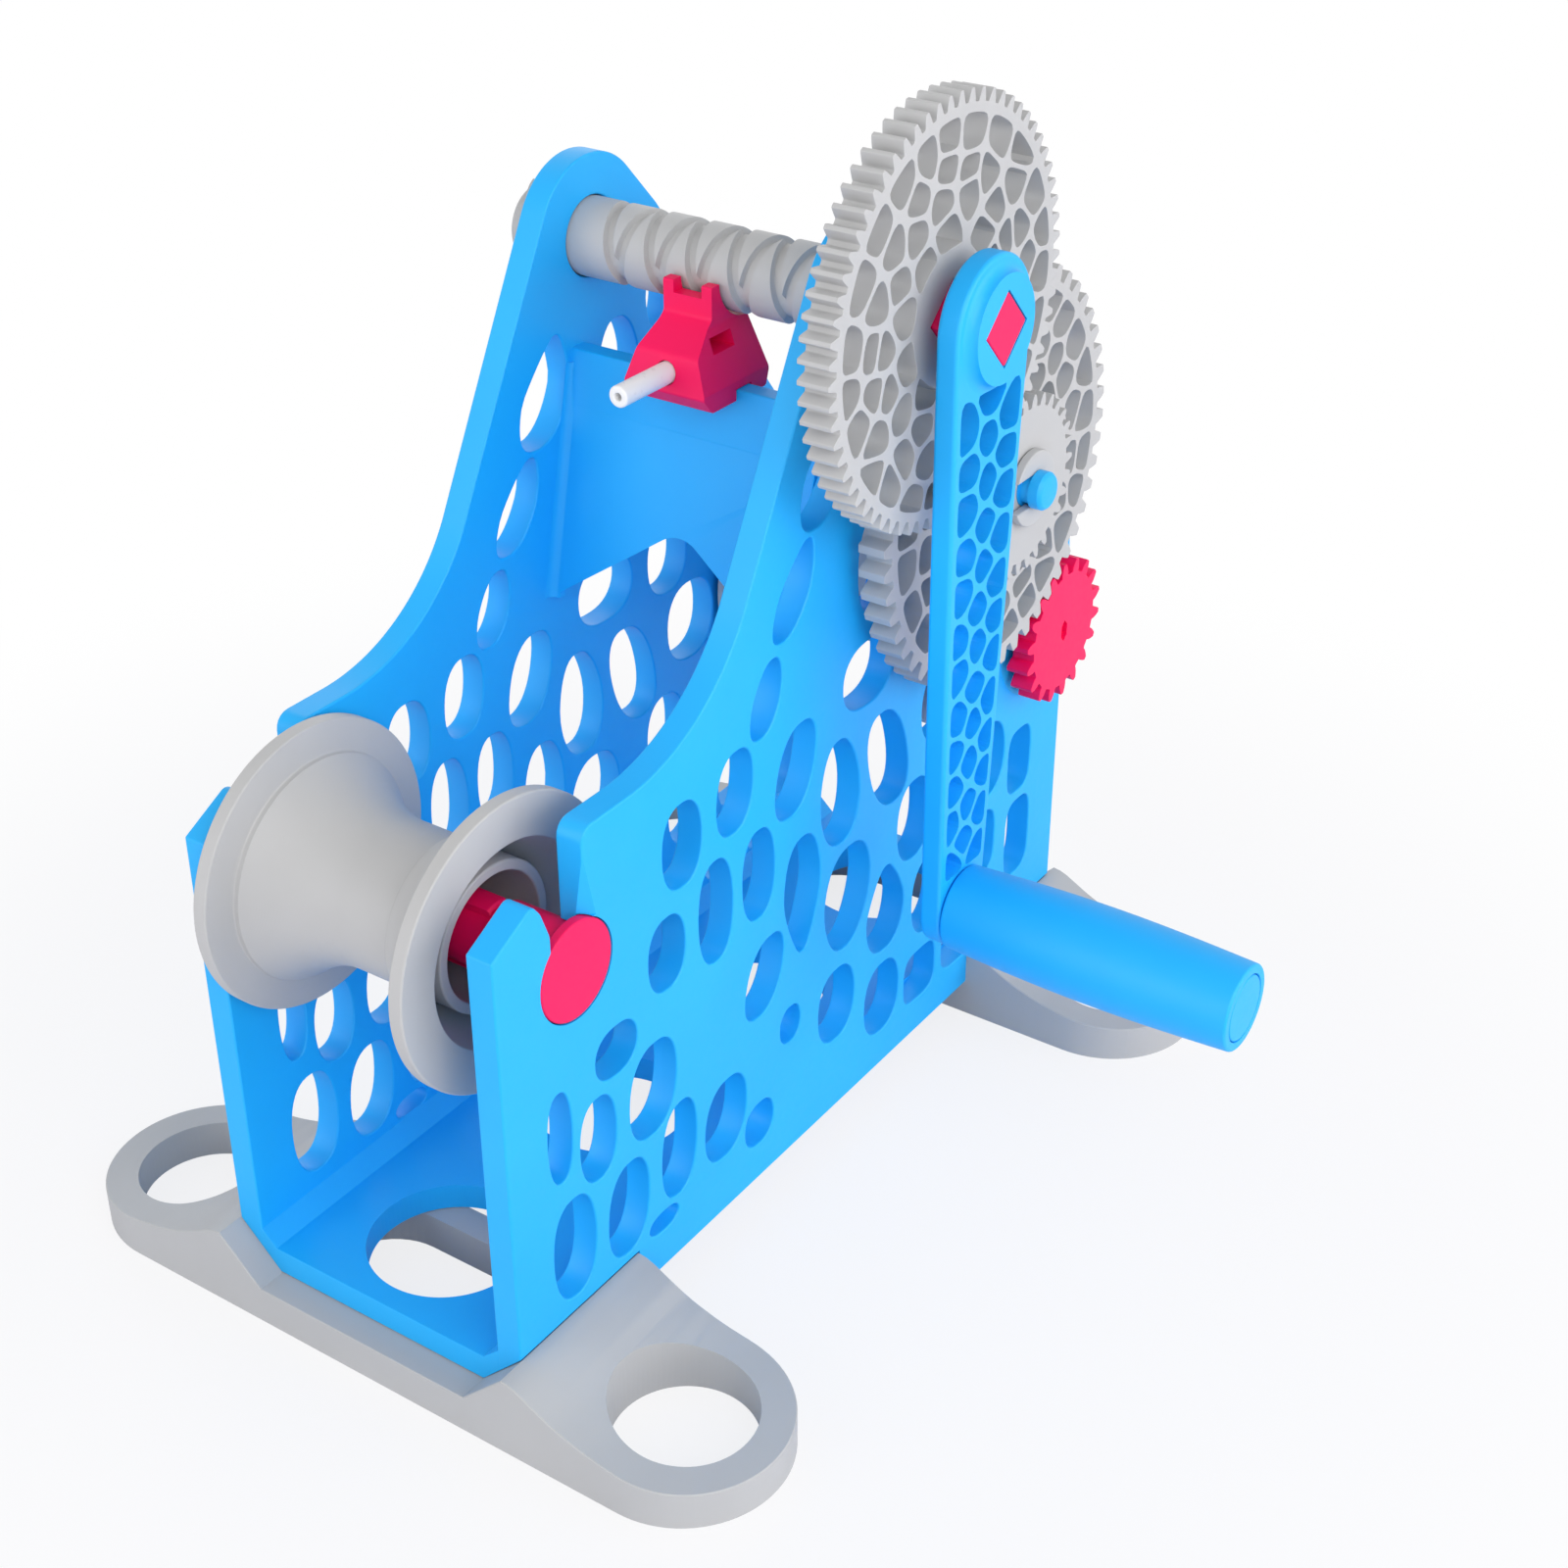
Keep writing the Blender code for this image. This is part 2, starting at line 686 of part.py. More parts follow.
# Prism that takes the 45 degree corner off the frame where a foot holds it.
def cornerCutter(name, side, rear):
    top = (side * (plateOuter + overrun), floorUnder + cornerChamfer + overrun)
    low = (side * (plateOuter - cornerChamfer - overrun), floorUnder - overrun)
    outside = (side * (plateOuter + overrun), floorUnder - overrun)
    reach = footDepth - footLead + seatGap
    if rear:
        first, last = fromFront(frameLength - reach), fromFront(frameLength + overrun)
    else:
        first, last = fromFront(-overrun), fromFront(reach)
    return slab(name, [[low, outside, top]], first, last, "front", tools)


def sidePlate(name, side):
    outlines = [plateOutline()]
    outlines += [holeOutline(row, plateHolePoints) for row in plateHoleShares]
    outlines.append(circle(*screwAxis, screwRadius + runGap, smallSteps))
    outlines.append(circle(*rearAxis, shaftJournal + runGap, smallSteps))
    low, high = sorted((side * plateInner, side * plateOuter))
    plate = slab(name, outlines, low, high, "side", parts)
    for rear in (False, True):
        cutter = cornerCutter(name + ("_rear_corner" if rear else "_front_corner"), side, rear)
        combine(plate, cutter, "DIFFERENCE")
    seatDepth = frontHeadThickness + seatGap
    first, last = sorted((side * (plateOuter - seatDepth), side * (plateOuter + overrun)))
    seat = slab(name + "_head_seat", [circle(*frontAxis, frontHeadRadius + runGap, roundSteps)],
                first, last, "side", tools)
    combine(plate, seat, "DIFFERENCE")
    return plate


nearPlate = sidePlate("near_side_plate", 1)
farPlate = sidePlate("far_side_plate", -1)

rearBoss = turned("rear_boss", [
    (plateOuter - overrun, shaftJournal + runGap + overrun),
    (plateOuter - overrun, rearBossRadius - rearBossStep),
    (plateOuter + rearBossOut, rearBossRadius - rearBossStep),
    (plateOuter + rearBossOut, shaftJournal + runGap + overrun)], roundSteps, tools)
combine(nearPlate, shifted(rearBoss, 0, *rearAxis), "UNION")
collarSeat = turned("collar_seat", [
    (driveCollarBack - seatGap, 0), (driveCollarBack - seatGap, driveCollarRadius + runGap),
    (plateOuter + rearBossOut + overrun, driveCollarRadius + runGap),
    (plateOuter + rearBossOut + overrun, 0)], roundSteps, tools)
combine(nearPlate, shifted(collarSeat, 0, *rearAxis), "DIFFERENCE")
clipLow = idlerSmallFace + seatGap
clipHigh = clipLow + idlerClipThickness
stubEnd = plateOuter + stubOut
stub = turned("stub_axle", [
    (plateOuter - overrun, 0), (plateOuter - overrun, idlerBossRadius),
    (plateOuter + idlerBossOut, idlerBossRadius), (plateOuter + idlerBossOut, stubRadius),
    (clipLow - seatGap, stubRadius), (clipLow - seatGap, stubNeck),
    (clipHigh + seatGap, stubNeck), (clipHigh + seatGap, stubRadius),
    (stubEnd - stubChamfer, stubRadius), (stubEnd, stubRadius - stubChamfer),
    (stubEnd, 0)], smallSteps, tools)
combine(nearPlate, shifted(stub, 0, *idlerAxis), "UNION")
finish(nearPlate, blue)
finish(farPlate, blueFar)
place(nearPlate, (plateInner, *idlerAxis))
place(farPlate, (-plateInner, *idlerAxis))

# Floor plate with four round openings
floorHalf = plateInner - seatGap
floorOutline = [(-floorHalf, fromFront(0)), (floorHalf, fromFront(0)),
                (floorHalf, fromFront(frameLength)), (-floorHalf, fromFront(frameLength))]
floorHoles = []
holeStep = (frameLength - 2 * floorHoleInset) / (floorHoleCount - 1)
for holeIndex in range(floorHoleCount):
    holeY = fromFront(floorHoleInset + holeIndex * holeStep)
    floorHoles.append(circle(0, holeY, floorHoleRadius, roundSteps))
floorPlate = slab("floor_plate", [floorOutline] + floorHoles, floorUnder,
                  floorUnder + floorThickness, "flat", parts)
for cornerSide in (-1, 1):
    for cornerRear in (False, True):
        cornerName = "floor_corner_%d_%d" % (cornerSide + 1, cornerRear)
        combine(floorPlate, cornerCutter(cornerName, cornerSide, cornerRear), "DIFFERENCE")
finish(floorPlate, blueFloor, False)
place(floorPlate, (0, 0, floorUnder))

# Cross panel, whose upper edge is the rail of the guide
panelSection = [(panelFoot, panelLow), (panelFoot + panelThickness, panelLow),
                (panelCreaseY + panelThickness, panelCrease),
                (panelTopY + panelThickness, panelTop), (panelTopY, panelTop),
                (panelCreaseY, panelCrease)]
panelHalf = plateInner - seatGap
panel = slab("cross_panel", [[(fromScrew(a), b) for a, b in panelSection]],
             -panelHalf, panelHalf, "side", parts)
archRound = panelArch / 3
archSlope = math.atan2(panelArch, panelHalf)
archPoints = arc(0, panelLow + panelArch - archRound / math.cos(archSlope), archRound,
                 math.pi / 2 - archSlope, math.pi / 2 + archSlope, 4)
archOutline = [(-panelHalf - overrun, panelLow - overrun * math.tan(archSlope)),
               (-panelHalf - overrun, panelLow - overrun),
               (panelHalf + overrun, panelLow - overrun),
               (panelHalf + overrun, panelLow - overrun * math.tan(archSlope))] + archPoints
arch = slab("panel_arch", [archOutline], fromScrew(panelFoot) - panelThickness,
            fromScrew(panelCreaseY) + panelThickness * 2, "front", tools)
combine(panel, arch, "DIFFERENCE")
finish(panel, bluePanel, False)
place(panel, (0, fromScrew(panelFoot), panelLow))


# Feet
footSlopeShares = ((0.0, 1.0), (0.05, 0.97), (0.14, 0.72), (0.26, 0.44), (0.42, 0.22),
                   (0.6, 0.09), (0.8, 0.02), (1.0, 0.0))


# Top line of a foot from the middle outwards: seat, 45 degree wall, long slope.
def footTop():
    wallTop = plateOuter
    half = [(footSeatHalf - seatGap, floorUnder - seatGap), (wallTop, footPeak - seatGap)]
    reach = footRingX + footRingOuter - wallTop
    for share, rise in footSlopeShares[1:]:
        half.append((wallTop + share * reach, footTail + rise * (footPeak - footTail)))
    return half


# Foot seen from above: a strip with a ring at each end.
def footPlan(middle, steps):
    low, high = middle - footDepth / 2, middle + footDepth / 2
    right = arc(footRingX, middle, footRingOuter, -math.pi / 2, math.pi / 2, steps)
    left = arc(-footRingX, middle, footRingOuter, math.pi / 2, 3 * math.pi / 2, steps)
    return [(-footStripEnd, low), (footStripEnd, low)] + right + [
        (footStripEnd, high), (-footStripEnd, high)] + left


def foot(name, middle):
    half = footTop()
    section = half + [(half[-1][0], 0)] + [(-half[-1][0], 0)] + [(-a, b) for a, b in reversed(half)]
    body = slab(name, [section], middle - footDepth, middle + footDepth, "front", parts)
    holes = [circle(side * footRingX, middle, footRingHole, roundSteps) for side in (-1, 1)]
    opening = arc(footOpeningHalf - footOpeningRadius, middle, footOpeningRadius,
                  -math.pi / 2, math.pi / 2, 8)
    opening += arc(footOpeningRadius - footOpeningHalf, middle, footOpeningRadius,
                   math.pi / 2, 3 * math.pi / 2, 8)
    plan = slab(name + "_plan", [footPlan(middle, 12)] + holes + [opening],
                -overrun, footPeak + overrun, "flat", tools)
    combine(body, plan, "INTERSECT")
    return body


frontFootMiddle = fromFront(footDepth / 2 - footLead)
rearFootMiddle = fromFront(frameLength + footLead - footDepth / 2)
frontFoot = foot("front_foot", frontFootMiddle)
rearFoot = foot("rear_foot", rearFootMiddle)


# Sloped edge all round the top of a foot.
def chamferFoot(item, middle):
    mesh = evaluatedMesh(item)
    item.modifiers.clear()
    work = bmesh.new()
    work.from_mesh(mesh)
    bmesh.ops.remove_doubles(work, verts=work.verts[:], dist=mergeDistance)
    bmesh.ops.dissolve_limit(work, angle_limit=flatAngle, verts=work.verts[:],
                             edges=work.edges[:])
    rim = []
    for edge in work.edges:
        if len(edge.link_faces) != 2:
            continue
        lifts = sorted(face.normal.z for face in edge.link_faces)
        outer = min(abs(vert.co.y - middle) for vert in edge.verts) > footOpeningRadius + footEdge
        away = min(abs(vert.co.x) for vert in edge.verts) > footRingX
        distance = min(math.hypot(abs(vert.co.x) - footRingX, vert.co.y - middle)
                       for vert in edge.verts)
        ringSide = distance > (footRingHole + footRingOuter) / 2
        if lifts[0] < sideLiftShare and lifts[1] > topLiftShare and (outer or away) and ringSide:
            rim.append(edge)
    bmesh.ops.bevel(work, geom=rim, offset=footEdge, offset_type="WIDTH", segments=1,
                    profile=0.5, affect="EDGES", clamp_overlap=True)
    work.to_mesh(item.data)
    work.free()
    closeMesh(item.data)


chamferFoot(frontFoot, frontFootMiddle)
chamferFoot(rearFoot, rearFootMiddle)
finish(frontFoot, greys["front_foot"])
finish(rearFoot, greys["rear_foot"])
place(frontFoot, (0, frontFootMiddle, 0))
place(rearFoot, (0, rearFootMiddle, 0))

# Lead screw with two crossing grooves
grooveStep = screwLead / screwSteps
grooveRings = int(round(screwGrooveTurns * screwSteps))
screwFar = -(plateOuter + screwTail)
screwNear = plateOuter - seatGap
screwProfile = [(screwFar, 0), (screwFar, screwRadius)]
screwProfile += [(guideRestX + i * grooveStep, screwRadius)
                 for i in range(-grooveRings - 1, grooveRings + 2)]
screwProfile += [(screwNear, screwRadius), (screwNear, 0)]
leadScrew = turned("lead_screw", screwProfile, screwSteps, parts)
leadScrew.data.transform(Matrix.Rotation(pawlAngle, 4, "X"))
for vert in leadScrew.data.vertices:
    ring = round((vert.co.x - guideRestX) / grooveStep)
    offAxis = math.hypot(vert.co.y, vert.co.z)
    if abs(ring) > grooveRings or offAxis < screwRadius / 2:
        continue
    column = round((math.atan2(vert.co.z, vert.co.y) - pawlAngle) / (2 * math.pi / screwSteps))
    apart = [min((ring + hand * column) % screwSteps, -(ring + hand * column) % screwSteps)
             for hand in (-1, 1)]
    if min(apart) <= 1:
        depth = screwGrooveDepth * (0.5 if abs(ring) == grooveRings else 1)
        scale = (screwRadius - depth) / offAxis
        vert.co.y *= scale
        vert.co.z *= scale
shifted(leadScrew, 0, *screwAxis)


def squareOutline(centre, side):
    half = side / math.sqrt(2)
    return circle(*centre, half, 4, math.pi / 2 - crankLean)


socketFloor = squareEnd - seatGap
socket = slab("screw_socket", [squareOutline(screwAxis, crankShaftSide + 2 * seatGap)],
              socketFloor, screwNear + overrun, "side", tools)
combine(leadScrew, socket, "DIFFERENCE")
finish(leadScrew, greys["screw"])
crankPivot = (plateOuter, *screwAxis)
place(leadScrew, crankPivot)

# Crank gear: long hub, open web, 66 teeth
crankWeb = webOpenings(crankRings, crankHubRadius + webWidth, crankRoot - rimWidth,
                       crankWebSeed, webHolePoints)
crankOutlines = [movedOutline(gearOutline(crankTeeth, firstModule, crankTip, crankRoot,
                                          crankPhase, flankPointCount), *screwAxis)]
crankOutlines += [movedOutline(cell, *screwAxis) for cell in crankWeb]
crankGear = slab("crank_gear", crankOutlines, crankGearBack, crankGearFace, "side", parts)
hub = slab("crank_hub", [circle(*screwAxis, crankHubRadius, roundSteps)],
           plateOuter + seatGap, crankGearBack + crankGearThickness / 2, "side", tools)
combine(crankGear, hub, "UNION")
squareHole = slab("crank_gear_hole", [squareOutline(screwAxis, crankShaftSide + 2 * seatGap)],
                  plateOuter - overrun, crankGearFace + overrun, "side", tools)
combine(crankGear, squareHole, "DIFFERENCE")
finish(crankGear, greys["crank_gear"])
place(crankGear, crankPivot, leadScrew)

# Idler: large open gear behind, small gear in front, one piece
idlerWeb = webOpenings(idlerRings, idlerSmallTip, idlerLargeRoot - rimWidth,
                       idlerWebSeed, webHolePoints)
idlerOutlines = [movedOutline(gearOutline(
    idlerLargeTeeth, secondModule, idlerLargeTip, idlerLargeRoot, idlerLargePhase,
    flankPointCount), *idlerAxis)]
idlerOutlines += [movedOutline(cell, *idlerAxis) for cell in idlerWeb]
idlerGear = slab("idler_gear", idlerOutlines, idlerLargeBack, idlerLargeFace, "side", parts)
smallGear = slab("idler_small_gear", [movedOutline(
    gearOutline(idlerSmallTeeth, firstModule, idlerSmallTip, idlerSmallRoot,
                idlerSmallPhase, flankPointCount), *idlerAxis)],
    idlerLargeBack + idlerLargeThickness / 2, idlerSmallFace, "side", tools)
combine(idlerGear, smallGear, "UNION")
idlerBore = slab("idler_bore", [circle(*idlerAxis, stubRadius + runGap, smallSteps)],
                 idlerLargeBack - overrun, idlerSmallFace + overrun, "side", tools)
combine(idlerGear, idlerBore, "DIFFERENCE")
finish(idlerGear, greys["idler_gear"])
place(idlerGear, (idlerLargeBack, *idlerAxis))


# A ring with a mouth, the mouth's middle at the given angle.
def clipOutline(centre, outer, inner, mouth, turn, steps):
    first, last = turn + mouth, turn + 2 * math.pi - mouth
    points = arc(*centre, outer, first, last, steps)
    points += arc(*centre, inner, last, first, steps)
    return points


idlerClip = slab("idler_clip", [clipOutline(idlerAxis, idlerClipRadius, stubNeck + runGap,
                                            idlerClipMouth, idlerClipTurn, 14)],
                 clipLow, clipHigh, "side", parts)
finish(idlerClip, greys["idler_clip"])
place(idlerClip, (clipLow, *idlerAxis))


# Shafts that carry the spool cones

# A round section with a flat-sided ridge above and below.
def keyedOutline(centre, core, ridge, width, steps):
    inner = math.acos(width / 2 / core)
    outer = math.acos(width / 2 / ridge)
    points = []
    for turn in (0, math.pi):
        points += arc(*centre, core, turn - inner, turn + inner, steps)
        points += arc(*centre, ridge, turn + outer, turn + math.pi - outer, 3)
    return points


def shaft(name, axis, tipX, ridgeEnd, profile):
    body = turned(name, profile, smallSteps, parts)
    shifted(body, 0, *axis)
    ridges = slab(name + "_ridges", [keyedOutline(axis, shaftCore, shaftRidge,
                                                  shaftRidgeWidth, 10)],
                  tipX + ridgeStart, ridgeEnd + overrun, "side", tools)
    combine(body, ridges, "UNION")
    return body


frontHeadBack = plateOuter - frontHeadThickness
frontTipX = plateOuter - frontShaftLength
frontJournal = frontHeadBack - shaftJournalLength
frontShaft = shaft("front_shaft", frontAxis, frontTipX, frontJournal, [
    (frontTipX, 0), (frontTipX, shaftTip - shaftTipChamfer), (frontTipX + shaftTipChamfer, shaftTip),
    (frontTipX + ridgeStart + overrun, shaftTip), (frontTipX + ridgeStart + overrun, shaftTip - overrun),
    (frontJournal, shaftTip - overrun), (frontJournal, shaftJournal), (frontHeadBack, shaftJournal),
    (frontHeadBack, frontHeadRadius), (plateOuter, frontHeadRadius), (plateOuter, 0)])
finish(frontShaft, redFront)

driveTipX = -driveTipLength
driveJournal = driveCollarBack - shaftJournalLength
driveShaft = shaft("drive_shaft", rearAxis, driveTipX, driveJournal, [
    (driveTipX, 0), (driveTipX, shaftTip - shaftTipChamfer), (driveTipX + shaftTipChamfer, shaftTip),
    (driveTipX + ridgeStart + overrun, shaftTip), (driveTipX + ridgeStart + overrun, shaftTip - overrun),
    (driveJournal, shaftTip - overrun), (driveJournal, shaftJournal), (driveCollarBack, shaftJournal),
    (driveCollarBack, driveCollarRadius), (driveGearBack + overrun, driveCollarRadius),
    (driveGearBack + overrun, 0)])
driveGear = slab("drive_gear", [movedOutline(gearOutline(
    driveTeeth, secondModule, driveTip, driveRoot, drivePhase, flankPointCount), *rearAxis)],
    driveGearBack, driveGearFace, "side", tools)
combine(driveShaft, driveGear, "UNION")
keyhole = [(rearAxis[0] + keyholeRadius * keyholeShare * math.cos(a),
            rearAxis[1] + keyholeRadius * math.sin(a))
           for a in [math.pi / 2 + math.pi / 3 * i for i in range(6)]]
keyCut = slab("drive_keyhole", [keyhole], driveGearFace - driveGearThickness / 2,
              driveGearFace + overrun, "side", tools)
combine(driveShaft, keyCut, "DIFFERENCE")
finish(driveShaft, redDrive)


# Spool cones: the fixed one carries the tube, the sliding one runs on it
def fixedCone(name, axis, surface):
    back = -plateInner + coneWallGap
    front = back + coneFlangeThickness
    curve = []
    for i in range(6):
        share = i / 5
        swell = (coneBandRadius - coneTubeRadius) * (1 - share) ** tubeCurvePower
        curve.append((front + coneBandStep + share * coneCurveLength, coneTubeRadius + swell))
    inner = coneTubeRadius - coneTubeWall
    profile = [(back, shaftRidge - overrun), (back, coneFlangeRadius), (front, coneFlangeRadius)]
    profile += curve + [(coneTubeEnd, coneTubeRadius), (coneTubeEnd, inner),
                        (back + coneDiscThickness, inner),
                        (back + coneDiscThickness, shaftRidge - overrun)]
    cone = turned(name, profile, roundSteps, parts)
    shifted(cone, 0, *axis)
    bore = slab(name + "_bore", [keyedOutline(axis, shaftCore + runGap, shaftRidge + runGap,
                                              shaftRidgeWidth + 2 * runGap, 10)],
                back - overrun, back + coneDiscThickness + overrun, "side", tools)
    combine(cone, bore, "DIFFERENCE")
    finish(cone, surface)
    return place(cone, (back, *axis))


def slidingCone(name, axis, surface, parent):
    face = slidingFace
    edge = face - coneFlangeThickness
    band = edge - coneBandStep
    bore = coneTubeRadius + runGap
    lipOuter = bore + slidingLipWall
    profile = [(slidingLip, bore), (slidingLip, lipOuter)]
    for i in range(1, 6):
        share = i / 5
        profile.append((slidingLip + share * (band - slidingLip),
                        lipOuter + (coneBandRadius - lipOuter) * share ** slidingCurvePower))
    profile += [(edge, coneFlangeRadius), (face, coneFlangeRadius), (face, dishRadius),
                (slidingLip + slidingBoreLength, bore)]
    cone = turned(name, profile, roundSteps, parts)
    shifted(cone, 0, *axis)
    finish(cone, surface)
    return place(cone, (slidingLip, *axis), parent)


frontFixed = fixedCone("front_fixed_cone", frontAxis, greys["front_fixed_cone"])
slidingCone("front_sliding_cone", frontAxis, greys["front_sliding_cone"], frontFixed)
rearFixed = fixedCone("rear_fixed_cone", rearAxis, greys["rear_fixed_cone"])
slidingCone("rear_sliding_cone", rearAxis, greys["rear_sliding_cone"], rearFixed)
place(frontShaft, (plateOuter, *frontAxis), frontFixed)
place(driveShaft, (driveCollarBack, *rearAxis), rearFixed)

# Crank: square shaft, open arm, pin and grip
squareShaft = slab("square_shaft", [squareOutline(screwAxis, crankShaftSide)],
                   squareEnd, crankBossFace, "side", parts)
roundEdges = squareShaft.modifiers.new("edges", "BEVEL")
roundEdges.width = crankShaftChamfer
roundEdges.segments = 1
finish(squareShaft, redSquare, False)
place(squareShaft, crankPivot, leadScrew)


# A place on the crank arm, from distances down the arm and to its rear side.
def armFrame(along, across):
    return (screwAxis[0] - along * math.sin(crankLean) + across * math.cos(crankLean),
            screwAxis[1] - along * math.cos(crankLean) - across * math.sin(crankLean))


def armHalfWidth(along):
    taper = (crankHeadRadius - crankTailRadius) / crankReach
    return (crankHeadRadius - taper * along) / math.cos(math.asin(taper))


# Three zigzag columns of seeds down the arm.
def armSeeds():
    rng = random.Random(crankHoleSeed)
    start = crankHeadRadius + crankHoleMargin
    end = crankReach - gripEndRadius - crankHoleMargin
    step = (end - start) / crankHoleRows
    seeds = []
    for row in range(crankHoleRows):
        along = start + (row + 0.5) * step
        half = armHalfWidth(along) - crankBorder
        for column in (-1, 0, 1):
            across = half * (column * crankColumnShare
                             + rng.uniform(-crankWobbleShare, crankWobbleShare))
            drift = step * (crankZigzagShare * (1 if column else -1)
                            + rng.uniform(-crankDriftShare, crankDriftShare))
            seeds.append((along + drift, across))
    return seeds


def armOpenings(points):
    taper = math.asin((crankHeadRadius - crankTailRadius) / crankReach)
    edge = crankHeadRadius - crankBorder
    limits = [underLine(0, edge / math.cos(taper), math.sin(taper), math.cos(taper)),
              underLine(0, -edge / math.cos(taper), math.sin(taper), -math.cos(taper)),
              outsideCircle(crankBossRadius + webWidth),
              underLine(crankReach - gripEndRadius, 0, 1, 0)]
    seeds = armSeeds()
    cells = cellOutlines(seeds, seeds, webWidth / 2, limits, points)
    return [[armFrame(a, b) for a, b in cell] for cell in cells]


armTaper = math.asin((crankHeadRadius - crankTailRadius) / crankReach)
armDown = -math.pi / 2 - crankLean
armOutline = arc(*handleAxis, crankTailRadius, armDown - math.pi / 2 + armTaper,
                 armDown + math.pi / 2 - armTaper, 10)
armOutline += arc(*screwAxis, crankHeadRadius, armDown + math.pi / 2 - armTaper,
                  armDown + 3 * math.pi / 2 + armTaper, 20)
crankArm = slab("crank_arm", [armOutline] + armOpenings(armHolePoints), armBack, armFace,
                "side", parts)
armBoss = slab("crank_arm_boss", [circle(*screwAxis, crankBossRadius, smallSteps)],
               armBack + crankArmThickness / 2, crankBossFace, "side", tools)
combine(crankArm, armBoss, "UNION")
armHole = slab("crank_arm_hole", [squareOutline(screwAxis, crankShaftSide + 2 * seatGap)],
               armBack - overrun, crankBossFace + overrun, "side", tools)
combine(crankArm, armHole, "DIFFERENCE")
pinHole = slab("crank_arm_pin_hole", [circle(*handleAxis, pinRadius + seatGap, smallSteps)],
               armBack - overrun, armFace + overrun, "side", tools)
combine(crankArm, pinHole, "DIFFERENCE")
finish(crankArm, blueArm)
place(crankArm, crankPivot, squareShaft)

gripStart = armFace + seatGap
gripEnd = gripStart + gripLength
discRadius = gripEndRadius - gripRim
handlePin = turned("handle_pin", [
    (armBack, 0), (armBack, pinRadius), (gripEnd - pinDiscThickness, pinRadius),
    (gripEnd - pinDiscThickness, discRadius), (gripEnd, discRadius), (gripEnd, 0)],
    smallSteps, parts)
shifted(handlePin, 0, *handleAxis)
finish(handlePin, bluePin)
handlePivot = (gripStart, *handleAxis)
place(handlePin, handlePivot, crankArm)

gripProfile = [(gripStart, pinRadius + runGap)]
for gripIndex in range(7):
    gripShare = gripIndex / 6
    belly = math.sin(math.pi * gripShare)
    gripProfile.append((gripStart + gripShare * gripLength,
                        gripEndRadius + (gripMidRadius - gripEndRadius) * belly))
recess = gripEnd - pinDiscThickness - seatGap
gripProfile += [(gripEnd, discRadius + runGap), (recess, discRadius + runGap),
                (recess, pinRadius + runGap)]
handleGrip = turned("handle_grip", gripProfile, roundSteps, parts)
shifted(handleGrip, 0, *handleAxis)
finish(handleGrip, blueGrip)
place(handleGrip, handlePivot, handlePin)

# Guide that travels along the screw, its pawl and its tube
guideArc = screwRadius + guideArcGap
guideFront = [(-guideFlareHalf, guideBottom), (guideFlareHalf, guideBottom),
              (guideFlareHalf, guideFlare), (guideHeadHalf, guideWaist),
              (guideHeadHalf, guideHeadTop), (-guideHeadHalf, guideHeadTop),
              (-guideHeadHalf, guideWaist), (-guideFlareHalf, guideFlare)]
guideFrontMoved = [(a + guideRestX, b) for a, b in guideFront]
arcTop = math.pi + math.asin((screwZ - guideHeadTop) / guideArc)
hug = arc(0, screwZ, guideArc, arcTop, 3 * math.pi / 2, 8)
prongFrontY = hug[0][0] - guideProngThickness
guideSide = [(guideChinY, guideBottom), (guideHeelY, guideBottom), (guideBackY, guideBackZ),
             (guideShoulderY, hug[-1][1])] + list(reversed(hug)) + [
    (prongFrontY, guideHeadTop), (prongFrontY, guideWaist + guideProngThickness / 2),
    (guideNeckY, guideWaist), (guideBrowY, guideBrowZ), (guideNoseY, guideNoseZ)]
guide = slab("guide_carriage", [[(fromScrew(a), b) for a, b in guideSide]],
             guideRestX - guideFlareHalf - overrun, guideRestX + guideFlareHalf + overrun,
             "side", parts)
guideShape = slab("guide_front_shape", [guideFrontMoved], fromScrew(guideNoseY) - overrun,
                  fromScrew(guideBackY) + overrun, "front", tools)
combine(guide, guideShape, "INTERSECT")


# A block between two corners.
def boxBetween(name, low, high):
    outline = [(low[1], low[2]), (high[1], low[2]), (high[1], high[2]), (low[1], high[2])]
    return slab(name, [outline], low[0], high[0], "side", tools)


notchHalf = guideHeadHalf - guideProngWidth
notch = boxBetween("guide_notch",
                   (guideRestX - notchHalf, fromScrew(guideNoseY), guideNotch),
                   (guideRestX + notchHalf, fromScrew(guideBackY), guideHeadTop + overrun))
combine(guide, notch, "DIFFERENCE")
railAt = panelTopY - (panelTop - guideBottom) * (panelTopY - panelCreaseY) / (
    panelTop - panelCrease)
railSlot = boxBetween("guide_rail_slot",
                      (guideRestX - guideFlareHalf - overrun, fromScrew(railAt) - runGap,
                       guideBottom - overrun),
                      (guideRestX + guideFlareHalf + overrun,
                       fromScrew(panelTopY + panelThickness) + runGap, panelTop + seatGap))
combine(guide, railSlot, "DIFFERENCE")
window = boxBetween("guide_window",
                    (guideRestX + guideHeadHalf - guideWindowDepth,
                     fromScrew(guideWindowFront), guideWindowLow),
                    (guideRestX + guideFlareHalf + overrun,
                     fromScrew(guideWindowRear), guideWindowHigh))
combine(guide, window, "DIFFERENCE")
tubeBack = guideNoseY + tubeSeat
tubeHole = slab("guide_tube_hole", [circle(guideRestX, tubeZ, tubeRadius + seatGap, smallSteps)],
                fromScrew(guideNoseY) - overrun, fromScrew(tubeBack) + seatGap, "front", tools)
combine(guide, tubeHole, "DIFFERENCE")

